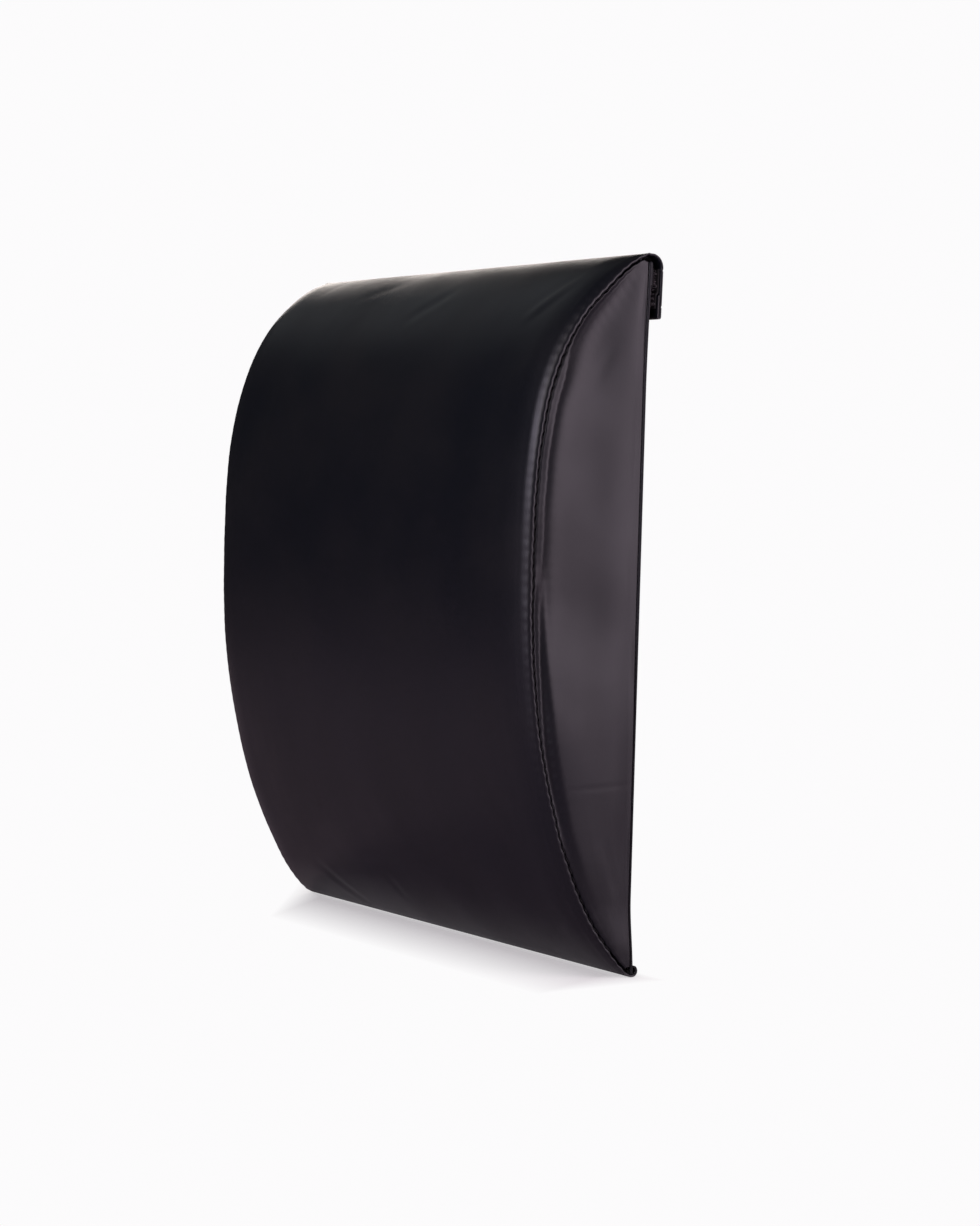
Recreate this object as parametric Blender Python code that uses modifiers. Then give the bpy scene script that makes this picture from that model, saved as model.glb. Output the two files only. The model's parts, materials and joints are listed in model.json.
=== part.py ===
"""Ab mat: a firm foam crescent in a sewn synthetic leather cover.

The mat lies on its flat back with the arch up. X runs across it, Y along it from the
foot seam to the fold of the closure flap, and Z up. The origin is under the middle of
the mat, at the level of its lowest thread. Every size is in metres.

The cover is sewn from an arched top panel, two crescent gussets and a flat base panel.
The base panel stops short at the head end and leaves a mouth for the foam core. The
closure flap folds over the mouth and fastens behind it with hook and loop tape.
"""

import math

import bmesh
import bpy
from mathutils import Vector

# Overall form
LENGTH = 0.370
WIDTH = 0.311
CREST_HEIGHT = 0.0692

# Where the arch peaks, counted from the foot, and how full each half of it is
PEAK_SHARE = 0.556
FOOT_FULLNESS = 2.15
HEAD_FULLNESS = 3.25
END_BLUNTNESS = 0.76

# Padding of the top panel: a slight crown, and a shoulder that rolls down to each seam
CROWN_RISE = 0.0015
SHOULDER_RISE = 0.0025
SHOULDER_WIDTH = 0.008
PADDING_FADE = 4

# Padding of a gusset: the band over the seam allowance, the valley beside it, the swell
BAND_WIDTH = 0.007
BAND_RISE = 0.0010
VALLEY_WIDTH = 0.004
GUSSET_SWELL = 0.0008
GUSSET_TIP = 0.0010

# Materials: the leather, the sewing thread, and the room left between two pieces
LEATHER = 0.0012
THREAD = 0.0004
CLEARANCE = 0.0003
SEAM_END_INSET = 0.008
FURROW_DEPTH = 0.0004

# The roll of the foot seam and the mouth at the head end
ROLL_SLACK = 0.0008
MOUTH_INSET = 0.004
FOAM_TIP = 0.003

# Hook and loop tape, the hems it covers, and the flap beyond it
TAPE_WIDTH = 0.020
TAPE_BACKING = 0.0007
LOOP_PILE = 0.0016
HOOK_HEIGHT = 0.0012
SELVEDGE = 0.0015
TAPE_END_INSET = 0.003
TAPE_STEP = 0.0015
MOUTH_HEM_SHARE = 0.425
FLAP_HEM_SHARE = 0.675
FLAP_MARGIN = 0.0055

# Sizes that follow from the ones above
SEAM_GROOVE = THREAD + 2 * CLEARANCE
LINING = LEATHER + CLEARANCE
SEAM_DROP = LEATHER + SEAM_GROOVE
END_STAND = LINING
HALF_WIDTH = WIDTH / 2
FOOT_Y = -LENGTH / 2
HEAD_Y = LENGTH / 2
PEAK_Y = FOOT_Y + PEAK_SHARE * LENGTH
FLAP_DROP = 2 * LEATHER + 2 * TAPE_BACKING + LOOP_PILE + HOOK_HEIGHT + 3 * CLEARANCE
FOLD_RADIUS = FLAP_DROP - CLEARANCE
TAPE_START = FLAP_DROP
TAPE_END = TAPE_START + TAPE_WIDTH
FLAP_LENGTH = TAPE_END + FLAP_MARGIN
MOUTH_HEM_END = TAPE_START + MOUTH_HEM_SHARE * TAPE_WIDTH
FLAP_HEM_END = TAPE_START + FLAP_HEM_SHARE * TAPE_WIDTH
THREAD_PROUD = THREAD + CLEARANCE - FURROW_DEPTH
BACK_Z = FLAP_DROP + THREAD_PROUD
ROLL_BORE = SEAM_GROOVE + ROLL_SLACK
ROLL_RADIUS = ROLL_BORE + LEATHER

# How finely the curved pieces are divided
CREST_STEPS = 30
ROLL_STEPS = 6
SHOULDER_STEPS = 4
CROWN_STEPS = 6
GUSSET_STEPS = 26
FOAM_STEPS = 24
ARC_STEPS = 6
SEAM_STEPS = 44
THREAD_ROUNDNESS = 1
SEARCH_STEPS = 40

PARTS_NAME = "ab_mat"


# The arch of the mat, seen from the side

def crest_height(y):
    """Height of the crown seam over the back plane, at the place y along the mat."""
    if y < PEAK_Y:
        share = (PEAK_Y - y) / (PEAK_Y - FOOT_Y)
        fullness = FOOT_FULLNESS
    else:
        share = (y - PEAK_Y) / (HEAD_Y - PEAK_Y)
        fullness = HEAD_FULLNESS
    arch_share = max(0.0, 1 - min(1.0, share) ** fullness) ** END_BLUNTNESS
    return END_STAND + (CREST_HEIGHT - END_STAND) * arch_share


def crest_normal(y):
    """Unit vector square to the crest at y, pointing out of the mat, as (y, z)."""
    if y <= FOOT_Y:
        return Vector((-1, 0))
    if y >= HEAD_Y:
        return Vector((1, 0))
    nearest_end = min(y - FOOT_Y, HEAD_Y - y)
    step = nearest_end / SEARCH_STEPS
    rise = crest_height(y + step) - crest_height(y - step)
    return Vector((-rise, 2 * step)).normalized()


def crest_point(y, depth):
    """Point at the given depth under the crest, square to it, as (y, z)."""
    return Vector((y, crest_height(y))) - depth * crest_normal(y)


def padding_fade(y):
    """How much of the padding is left at y: all in the middle, none at both ends."""
    end_share = abs(2 * y / LENGTH)
    return 1 - end_share ** PADDING_FADE


def reach(depth, height, end_y):
    """Place nearest end_y where the line at this depth is still this high."""
    inner, outer = PEAK_Y, end_y
    for _ in range(SEARCH_STEPS):
        middle = (inner + outer) / 2
        if crest_point(middle, depth).y > height:
            inner = middle
        else:
            outer = middle
    return inner


def eased_places(start, end, steps):
    """Places from start to end that stand closer together near both ends."""
    return [start + (end - start) * (1 - math.cos(math.pi * step / steps)) / 2
            for step in range(steps + 1)]


def padding_lift(x, margin=0.0):
    """How far the padded top stands over the crest at x; margin is the lining's depth."""
    across = min(HALF_WIDTH, abs(x) + margin)
    past_shoulder = max(0.0, across - (HALF_WIDTH - SHOULDER_WIDTH)) / SHOULDER_WIDTH
    shoulder = SHOULDER_RISE * math.sqrt(max(0.0, 1 - past_shoulder ** 2))
    crown = CROWN_RISE * (1 - (across / HALF_WIDTH) ** 2)
    return shoulder + crown


def places_across(half_width):
    """Places across the mat: close together on the shoulders, even between them."""
    flat_half = half_width - SHOULDER_WIDTH
    shoulder = [flat_half + SHOULDER_WIDTH * math.sin(math.pi / 2 * step / SHOULDER_STEPS)
                for step in range(SHOULDER_STEPS + 1)]
    middle = [-flat_half + 2 * flat_half * step / CROWN_STEPS for step in range(1, CROWN_STEPS)]
    return [-place for place in reversed(shoulder)] + middle + shoulder


# Building helpers

def new_object(name, mesh, material, parent=None):
    """Put a mesh in the parts collection as one named piece."""
    piece = bpy.data.objects.new(name, mesh)
    piece.data.materials.append(material)
    bpy.data.collections[PARTS_NAME].objects.link(piece)
    if parent is not None:
        piece.parent = parent
    return piece


def grid_mesh(name, rows, reverse=False):
    """Mesh of a grid whose corners are moved to the given rows of points."""
    columns = len(rows[0])
    bm = bmesh.new()
    bmesh.ops.create_grid(bm, x_segments=columns - 1, y_segments=len(rows) - 1, size=1)
    bm.verts.ensure_lookup_table()
    for index, vertex in enumerate(bm.verts):
        vertex.co = rows[index // columns][index % columns]
    if reverse:
        bmesh.ops.reverse_faces(bm, faces=bm.faces[:])
    mesh = bpy.data.meshes.new(name)
    bm.to_mesh(mesh)
    bm.free()
    mesh.shade_smooth()
    return mesh


def add_leather_wall(piece):
    """Give an open surface the leather's thickness, on its inner side."""
    wall = piece.modifiers.new("leather", 'SOLIDIFY')
    wall.thickness = LEATHER
    wall.offset = -1
    wall.use_even_offset = True


def extruded_outline(name, outline, half_width, material, parent=None):
    """Piece with one outline across the mat; outline holds (y, z) points in order."""
    curve = bpy.data.curves.new(name, 'CURVE')
    curve.dimensions = '2D'
    curve.fill_mode = 'BOTH'
    curve.extrude = half_width
    spline = curve.splines.new('POLY')
    spline.points.add(len(outline) - 1)
    for point, (y, z) in zip(spline.points, outline):
        point.co = (y, z, 0, 1)
    spline.use_cyclic_u = True
    piece = new_object(name, curve, material, parent)
    piece.rotation_euler = (math.pi / 2, 0, math.pi / 2)
    return piece


def arc(centre, radius, start, end, steps):
    """Points on an arc between two angles in radians, as (y, z)."""
    angles = [start + (end - start) * step / steps for step in range(steps + 1)]
    return [(centre[0] + radius * math.cos(angle), centre[1] + radius * math.sin(angle))
            for angle in angles]


def thread_run(name, path, material, parent=None):
    """Run of sewing thread along a path of points."""
    curve = bpy.data.curves.new(name, 'CURVE')
    curve.dimensions = '3D'
    curve.bevel_depth = THREAD / 2
    curve.bevel_resolution = THREAD_ROUNDNESS
    curve.use_fill_caps = True
    spline = curve.splines.new('POLY')
    spline.points.add(len(path) - 1)
    for point, place in zip(spline.points, path):
        point.co = (*place, 1)
    spline.use_smooth = True
    return new_object(name, curve, material, parent)


def across_run(y, z):
    """Path of a straight row of sewing across the mat."""
    reach_across = HALF_WIDTH - SEAM_END_INSET
    return [Vector((-reach_across, y, z)), Vector((reach_across, y, z))]


def finish(name, colour, roughness):
    """Plain material of one finish."""
    material = bpy.data.materials.new(name)
    material.use_nodes = True
    shader = material.node_tree.nodes["Principled BSDF"]
    shader.inputs["Base Color"].default_value = (*colour, 1)
    shader.inputs["Roughness"].default_value = roughness
    shader.inputs["Metallic"].default_value = 0
    return material


# The leather cover

def top_panel_stations():
    """Line of the top panel from the foot roll over the arch to the fold, as (y, z)."""
    roll_centre = (FOOT_Y + ROLL_RADIUS, 0.0)
    roll_end = 2 * math.pi - math.asin(SEAM_GROOVE / ROLL_BORE)
    roll = arc(roll_centre, ROLL_RADIUS, roll_end, math.pi, ROLL_STEPS)
    arch = [(y, crest_height(y)) for y in eased_places(FOOT_Y, HEAD_Y, CREST_STEPS)]
    return roll, arch, [(HEAD_Y, 0.0)]


def add_top_panel(material):
    """Arched top panel: rolled at the foot, padded over the arch, open at the head."""
    roll, arch, end = top_panel_stations()
    across = places_across(HALF_WIDTH)
    rows = [[Vector((x, y, z + BACK_Z)) for x in across] for y, z in roll]
    for y, z in arch:
        normal = crest_normal(y)
        fade = padding_fade(y)
        lifts = [fade * padding_lift(x) for x in across]
        rows.append([Vector((x, y + lift * normal.x, z + lift * normal.y + BACK_Z))
                     for x, lift in zip(across, lifts)])
    rows += [[Vector((x, y, z + BACK_Z)) for x in across] for y, z in end]
    add_leather_wall(new_object("top_panel", grid_mesh("top_panel", rows), material))


def gusset_section(height):
    """Section of a gusset from its base seam up to its crown seam, as (swell, z)."""
    padded_height = 2 * (BAND_WIDTH + VALLEY_WIDTH)
    scale = min(1.0, height / padded_height)
    band = BAND_WIDTH * scale
    valley = VALLEY_WIDTH * scale
    low_swell = GUSSET_SWELL * scale
    rise = BAND_RISE * scale
    below_band = height - band - valley
    return [
        (0.0, 0.0),
        (low_swell, below_band / 4),
        (low_swell, below_band / 2),
        (low_swell, below_band),
        (0.0, height - band - valley / 2),
        (rise / 2, height - band),
        (rise, height - band * 2 / 3),
        (rise, height - band / 3),
        (0.0, height),
    ]


def add_gusset(name, side, material):
    """Crescent gusset; side is 1 for the right and -1 for the left."""
    low = SEAM_DROP
    foot_tip = reach(SEAM_DROP, low + GUSSET_TIP, FOOT_Y)
    head_tip = reach(SEAM_DROP, low + GUSSET_TIP, HEAD_Y)
    columns = []
    for crest_y in eased_places(foot_tip, head_tip, GUSSET_STEPS):
        edge = crest_point(crest_y, SEAM_DROP)
        section = gusset_section(edge.y - low)
        columns.append([Vector((side * (HALF_WIDTH + swell), edge.x, BACK_Z + low + z))
                        for swell, z in section])
    rows = [list(row) for row in zip(*columns)]
    mesh = grid_mesh(name, rows, reverse=side < 0)
    add_leather_wall(new_object(name, mesh, material))


def add_base_panel(material):
    """Flat back of the cover, with the mouth's edge turned down into a hem."""
    foot_edge = FOOT_Y + LINING
    mouth_edge = HEAD_Y - MOUTH_INSET
    hem_edge = HEAD_Y - MOUTH_HEM_END
    outline = [(hem_edge, 0.0), (foot_edge, 0.0), (foot_edge, LEATHER)]
    fold = arc((mouth_edge - LEATHER, 0.0), LEATHER, math.pi / 2, -math.pi / 2, ARC_STEPS)
    outline += fold
    outline.append((hem_edge, -LEATHER))
    outline = [(y, z + BACK_Z) for y, z in reversed(outline)]
    extruded_outline("base_panel", outline, HALF_WIDTH, material)


def add_closure_flap(hinge, material):
    """Flap from the fold to its hemmed free edge, drawn from the fold line."""
    outer = -FLAP_DROP
    inner = outer + LEATHER
    hem_face = outer + 2 * LEATHER
    centre = (-FOLD_RADIUS, -CLEARANCE)
    outline = arc(centre, FOLD_RADIUS, 0.0, -math.pi / 2, ARC_STEPS)
    for row in tape_rows():
        near = -row + SEAM_GROOVE / 2
        far = -row - SEAM_GROOVE / 2
        floor = outer + FURROW_DEPTH
        outline += [(near, outer), (near, floor), (far, floor), (far, outer)]
    hem_centre = (-FLAP_LENGTH + LEATHER, inner)
    outline += arc(hem_centre, LEATHER, -math.pi / 2, -3 * math.pi / 2, ARC_STEPS)
    outline += [(-FLAP_HEM_END, hem_face), (-FLAP_HEM_END, inner)]
    outline += arc(centre, FOLD_RADIUS - LEATHER, -math.pi / 2, 0.0, ARC_STEPS)
    outline.reverse()
    extruded_outline("closure_flap", outline, HALF_WIDTH, material, hinge)


# Hook and loop tape

def tape_rows():
    """Distances from the fold to the two rows of sewing that hold each tape."""
    return TAPE_START + SELVEDGE / 2, TAPE_END - SELVEDGE / 2


def add_loop_tape(material):
    """Loop tape under the base panel; it steps down over the mouth's hem."""
    plain = BACK_Z - CLEARANCE
    over_hem = plain - LEATHER
    step_near = HEAD_Y - MOUTH_HEM_END - CLEARANCE
    step_far = step_near - TAPE_STEP
    start = HEAD_Y - TAPE_START
    end = HEAD_Y - TAPE_END
    pile = TAPE_BACKING + LOOP_PILE
    outline = [
        (start, over_hem), (step_near, over_hem), (step_far, plain), (end, plain),
        (end, plain - TAPE_BACKING), (end + SELVEDGE, plain - TAPE_BACKING),
        (end + SELVEDGE, plain - pile), (step_far, plain - pile),
        (step_near, over_hem - pile), (start - SELVEDGE, over_hem - pile),
        (start - SELVEDGE, over_hem - TAPE_BACKING), (start, over_hem - TAPE_BACKING),
    ]
    extruded_outline("loop_tape", outline, HALF_WIDTH - TAPE_END_INSET, material)


def add_hook_tape(hinge, material):
    """Hook tape inside the flap; it steps up over the flap's hem."""
    plain = -FLAP_DROP + LINING
    over_hem = plain + LEATHER
    step_far = -FLAP_HEM_END + CLEARANCE
    step_near = step_far + TAPE_STEP
    hooks = TAPE_BACKING + HOOK_HEIGHT
    outline = [
        (-TAPE_START, plain), (-TAPE_START, plain + TAPE_BACKING),
        (-TAPE_START - SELVEDGE, plain + TAPE_BACKING), (-TAPE_START - SELVEDGE, plain + hooks),
        (step_near, plain + hooks), (step_far, over_hem + hooks),
        (-TAPE_END + SELVEDGE, over_hem + hooks), (-TAPE_END + SELVEDGE, over_hem + TAPE_BACKING),
        (-TAPE_END, over_hem + TAPE_BACKING), (-TAPE_END, over_hem),
        (step_far, over_hem), (step_near, plain),
    ]
    extruded_outline("hook_tape", outline, HALF_WIDTH - TAPE_END_INSET, material, hinge)


# The foam core

def add_foam_core(material):
    """Foam crescent that fills the cover, drawn one lining's depth inside it."""
    low = BACK_Z + LINING
    foot_end = reach(LINING, LINING + FOAM_TIP, FOOT_Y)
    head_end = reach(LINING, LINING + FOAM_TIP, HEAD_Y)
    across = places_across(HALF_WIDTH - LINING)
    rows = []
    for y in eased_places(foot_end, head_end, FOAM_STEPS):
        normal = crest_normal(y)
        edge = crest_point(y, LINING)
        fade = padding_fade(y)
        lifts = [fade * padding_lift(x, LINING) for x in across]
        rows.append([Vector((x, edge.x + lift * normal.x, edge.y + lift * normal.y + BACK_Z))
                     for x, lift in zip(across, lifts)])
    mesh = grid_mesh("foam_core", rows)
    bm = bmesh.new()
    bm.from_mesh(mesh)
    top = bm.faces[:]
    extruded = bmesh.ops.extrude_face_region(bm, geom=top)["geom"]
    bottom = [item for item in extruded if isinstance(item, bmesh.types.BMFace)]
    for vertex in {corner for face in bottom for corner in face.verts}:
        vertex.co.z = low
    bmesh.ops.dissolve_faces(bm, faces=bottom, use_verts=True)
    bmesh.ops.recalc_face_normals(bm, faces=bm.faces[:])
    bm.to_mesh(mesh)
    bm.free()
    new_object("foam_core", mesh, material)


# The sewing thread

def add_crown_thread(name, side, material):
    """Thread in the groove between the top panel and one gusset."""
    depth = LEATHER + SEAM_GROOVE / 2
    x = side * (HALF_WIDTH - THREAD / 2)
    foot_end = FOOT_Y + SEAM_END_INSET
    head_end = HEAD_Y - SEAM_END_INSET
    seam = [crest_point(y, depth) for y in eased_places(foot_end, head_end, SEAM_STEPS)]
    thread_run(name, [Vector((x, point.x, point.y + BACK_Z)) for point in seam], material)


def add_base_thread(name, side, material):
    """Thread in the groove between one gusset and the base panel."""
    x = side * (HALF_WIDTH - THREAD / 2)
    z = BACK_Z + LEATHER + SEAM_GROOVE / 2
    foot_end = FOOT_Y + SEAM_END_INSET
    head_end = HEAD_Y - SEAM_END_INSET
    thread_run(name, [Vector((x, foot_end, z)), Vector((x, head_end, z))], material)


def add_foot_thread(material):
    """Thread in the groove between the foot roll and the base panel."""
    roll_end = math.asin(SEAM_GROOVE / ROLL_BORE)
    y = FOOT_Y + ROLL_RADIUS + ROLL_BORE * math.cos(roll_end)
    thread_run("foot_thread", across_run(y, BACK_Z - SEAM_GROOVE / 2), material)


def add_loop_tape_threads(material):
    """Thread along each bare edge of the loop tape."""
    near, far = tape_rows()
    drop = 2 * CLEARANCE + TAPE_BACKING + THREAD / 2
    near_path = across_run(HEAD_Y - near, BACK_Z - LEATHER - drop)
    thread_run("loop_tape_head_thread", near_path, material)
    thread_run("loop_tape_foot_thread", across_run(HEAD_Y - far, BACK_Z - drop), material)


def add_hook_tape_threads(hinge, material):
    """Thread in each furrow on the outside of the flap."""
    near, far = tape_rows()
    z = -FLAP_DROP + FURROW_DEPTH - CLEARANCE - THREAD / 2
    thread_run("hook_tape_fold_thread", across_run(-near, z), material, hinge)
    thread_run("hook_tape_edge_thread", across_run(-far, z), material, hinge)


def build():
    """Clear the file and make the whole mat."""
    for old in list(bpy.data.objects):
        bpy.data.objects.remove(old)
    collection = bpy.data.collections.new(PARTS_NAME)
    bpy.context.scene.collection.children.link(collection)

    hinge = bpy.data.objects.new("flap_hinge", None)
    hinge.location = (0, HEAD_Y, BACK_Z)
    collection.objects.link(hinge)

    leather = finish("black leather", (0.022, 0.022, 0.025), 0.42)
    tape = finish("black woven tape", (0.016, 0.016, 0.017), 0.85)
    foam = finish("grey foam", (0.18, 0.18, 0.19), 0.9)
    thread = finish("black thread", (0.03, 0.03, 0.032), 0.6)

    add_top_panel(leather)
    add_gusset("right_gusset", 1, leather)
    add_gusset("left_gusset", -1, leather)
    add_base_panel(leather)
    add_closure_flap(hinge, leather)
    add_loop_tape(tape)
    add_hook_tape(hinge, tape)
    add_foam_core(foam)
    add_crown_thread("right_crown_thread", 1, thread)
    add_crown_thread("left_crown_thread", -1, thread)
    add_base_thread("right_base_thread", 1, thread)
    add_base_thread("left_base_thread", -1, thread)
    add_foot_thread(thread)
    add_loop_tape_threads(thread)
    add_hook_tape_threads(hinge, thread)


build()
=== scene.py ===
"""Dress of the ab mat: a firm foam crescent in a sewn cover of black synthetic leather.

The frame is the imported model, lying on its flat back: X runs across the mat, Y from the
foot seam to the fold of the closure flap, and Z out of the arched top. The picture shows
the mat propped on its foot seam, so the picture's up is +Y here. Every size is in metres.
"""

import json
import logging
import math
from dataclasses import dataclass
from enum import Enum

import bpy
import numpy as np
from bpy.types import ID, Material, Node, NodeOutputs, NodeSocket, NodeTree, Object
from mathutils import Matrix, Vector


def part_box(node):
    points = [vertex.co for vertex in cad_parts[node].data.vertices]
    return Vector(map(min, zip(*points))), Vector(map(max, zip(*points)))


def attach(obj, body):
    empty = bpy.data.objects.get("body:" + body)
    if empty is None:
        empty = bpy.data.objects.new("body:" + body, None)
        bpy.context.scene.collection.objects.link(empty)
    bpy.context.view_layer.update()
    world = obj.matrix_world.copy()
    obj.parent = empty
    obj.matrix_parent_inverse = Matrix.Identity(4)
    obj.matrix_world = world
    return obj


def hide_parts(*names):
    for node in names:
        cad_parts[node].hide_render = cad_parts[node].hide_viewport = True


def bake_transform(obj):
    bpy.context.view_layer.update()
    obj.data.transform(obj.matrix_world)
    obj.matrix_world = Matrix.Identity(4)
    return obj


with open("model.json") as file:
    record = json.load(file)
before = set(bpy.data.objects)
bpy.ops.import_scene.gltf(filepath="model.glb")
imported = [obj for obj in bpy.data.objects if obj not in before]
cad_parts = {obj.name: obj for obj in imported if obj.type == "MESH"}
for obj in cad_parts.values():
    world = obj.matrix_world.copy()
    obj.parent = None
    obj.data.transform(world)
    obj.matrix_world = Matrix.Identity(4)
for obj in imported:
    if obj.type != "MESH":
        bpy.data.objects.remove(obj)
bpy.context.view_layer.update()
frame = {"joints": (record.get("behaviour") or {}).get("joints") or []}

LOG = logging.getLogger("ab_mat")
# Points of a dense line, the gap under which two of them are one, and what keeps the two
# ends of a loop of yarn apart where its plane is worked out
DENSE_COUNT = 4000
SAME_PLACE = 1e-8
NEVER_CLOSED = np.array([1e-6, 2e-6, 0])

Array = np.ndarray
Pair = tuple[float, float]
Triple = tuple[float, float, float]


class Body(Enum):
    """The two bodies of the mat that move against each other."""

    COVER = "cover"
    FLAP = "flap"


class Slot(Enum):
    """The record's material slots."""

    LEATHER = "leather"
    TAPE = "tape"
    THREAD = "thread"
    FOAM = "foam"


class Side(Enum):
    """Which side of the mat a piece is on, as the sign of its X."""

    RIGHT = 1
    LEFT = -1

    @property
    def label(self) -> str:
        """The side's word in the names of pieces."""
        return self.name.lower()


class Face(Enum):
    """Which of a sheet piece's materials a face takes."""

    FINISHED = 0
    BACKING = 1


# Shared shapes

def smooth_step(low: float, high: float, value: Array) -> Array:
    """Rise from 0 at low to 1 at high as 3 s^2 - 2 s^3; a high below low gives a step down."""
    share = np.clip((value - low) / (high - low), 0, 1)
    return share * share * (3 - 2 * share)


def eased(start: float, end: float, count: int) -> Array:
    """Places from start to end that crowd together at both, spaced as a cosine."""
    return start + (end - start) * (1 - np.cos(np.linspace(0, np.pi, count))) / 2


def arc(centre: Pair, radius: float, start: float, end: float,
        count: int) -> Array:
    """Points on a circle's arc, radius times (cosine, sine) about the centre."""
    angle = np.linspace(start, end, count)
    return np.stack([centre[0] + radius * np.cos(angle),
                     centre[1] + radius * np.sin(angle)], axis=1)


def straight(start: Pair, end: Pair, count: int) -> Array:
    """Evenly spaced points on a straight line, one row each."""
    return np.linspace(start, end, count)


def unit(vectors: Array) -> Array:
    """The vectors divided by their lengths, taken along the last axis."""
    return vectors / np.linalg.norm(vectors, axis=-1, keepdims=True)


def run_along(line: Array) -> Array:
    """Distance along a line of points to each of them."""
    gaps = np.linalg.norm(np.diff(line, axis=0), axis=1)
    return np.concatenate([[0.0], np.cumsum(gaps)])


def read_along(places: Array, run: Array, values: Array) -> Array:
    """Rows of values along a line, read at other distances along it."""
    return np.stack([np.interp(places, run, column) for column in values.T], axis=-1)


def waves(first: Array, second: Array, length: float, seed: int, count: int = 10,
          spread: Pair = (0.6, 1.6)) -> Array:
    """Gentle unevenness: the mean of plane waves with seeded directions and phases.

    Args:
        first: One coordinate of the surface.
        second: The other one, of the same shape.
        length: The middle wavelength.
        seed: Seed of the draws.
        count: How many waves are summed.
        spread: Shortest and longest wavelength, as shares of the middle one.

    Returns:
        Heights of about -1 to 1.
    """
    draw = np.random.default_rng(seed)
    heading = draw.uniform(0, 2 * np.pi, count)
    number = 2 * np.pi / (length * draw.uniform(*spread, count))
    phase = draw.uniform(0, 2 * np.pi, count)
    total = np.zeros(np.broadcast(first, second).shape)
    for turn, step, offset in zip(heading, number, phase):
        total += np.sin(step * (first * np.cos(turn) + second * np.sin(turn)) + offset)
    return total / math.sqrt(count)


@dataclass(frozen=True)
class Crease:
    """A shallow fold in the leather between two places on its surface."""

    start: Pair
    end: Pair
    width: float
    depth: float
    fade: float = 0.35
    shoulder: float = 1.4

    def relief(self, first: Array, second: Array) -> Array:
        """Height of the fold: a trough with a low shoulder on each side.

        Args:
            first: One coordinate of the surface.
            second: The other one.

        Returns:
            Heights, negative in the trough.
        """
        along = np.subtract(self.end, self.start)
        length = math.hypot(*along)
        heading = along / length
        from_first = first - self.start[0]
        from_second = second - self.start[1]
        run = (from_first * heading[0] + from_second * heading[1]) / length
        off = (from_second * heading[0] - from_first * heading[1]) / self.width
        taper = (smooth_step(-self.fade, self.fade, run)
                 * smooth_step(1 + self.fade, 1 - self.fade, run))
        return -self.depth * taper * (1 - self.shoulder * off ** 2) * np.exp(-off ** 2)


# The mat's sizes

@dataclass(frozen=True)
class Stock:
    """Thicknesses and clearances of what the mat is sewn from."""

    leather: float = 0.0012
    skin: float = 0.00115
    thread: float = 0.0004
    clearance: float = 0.0003
    seam_gap: float = 0.0010
    base_gap: float = 0.0005
    lip: float = 0.0006
    allowance: float = 0.0060
    stitch_pitch: float = 0.0060
    tape_stitch_pitch: float = 0.0036
    jog: float = 0.00016
    wander: float = 0.00014
    wander_length: float = 0.019

    @property
    def roll_groove(self) -> float:
        """Width of the groove that the foot seam's sewing lies in."""
        return self.thread + 2 * self.clearance

    @property
    def lining(self) -> float:
        """Depth of the cover's inner face, with its clearance."""
        return self.leather + self.clearance

    @property
    def seam_drop(self) -> float:
        """Depth of a gusset's edge under the seam's line, across its narrow gap."""
        return self.leather + self.seam_gap

    @property
    def base_drop(self) -> float:
        """Height of a gusset's lower edge over the base panel's face."""
        return self.leather + self.base_gap

    def beat(self, run: Array) -> Array:
        """Cosine that peaks once a stitch along a seam."""
        return np.cos(2 * np.pi * run / self.stitch_pitch)

    def stray(self, run: Array) -> Array:
        """How far a seam wanders under its line: a wave a stitch long, and a slower one."""
        slow = waves(run, np.zeros_like(run), self.wander_length, seed=2)
        return self.jog * np.sin(2 * np.pi * run / self.stitch_pitch) + self.wander * slow


@dataclass(frozen=True)
class Tape:
    """Sizes of the hook and loop tape, counted from the fold, and of the hems it covers."""

    width: float = 0.020
    backing: float = 0.0007
    pile: float = 0.0016
    hook: float = 0.0012
    selvedge: float = 0.0015
    end_inset: float = 0.0012
    step: float = 0.0015
    mouth_hem_share: float = 0.425
    flap_hem_share: float = 0.675
    flap_margin: float = 0.0055


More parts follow.
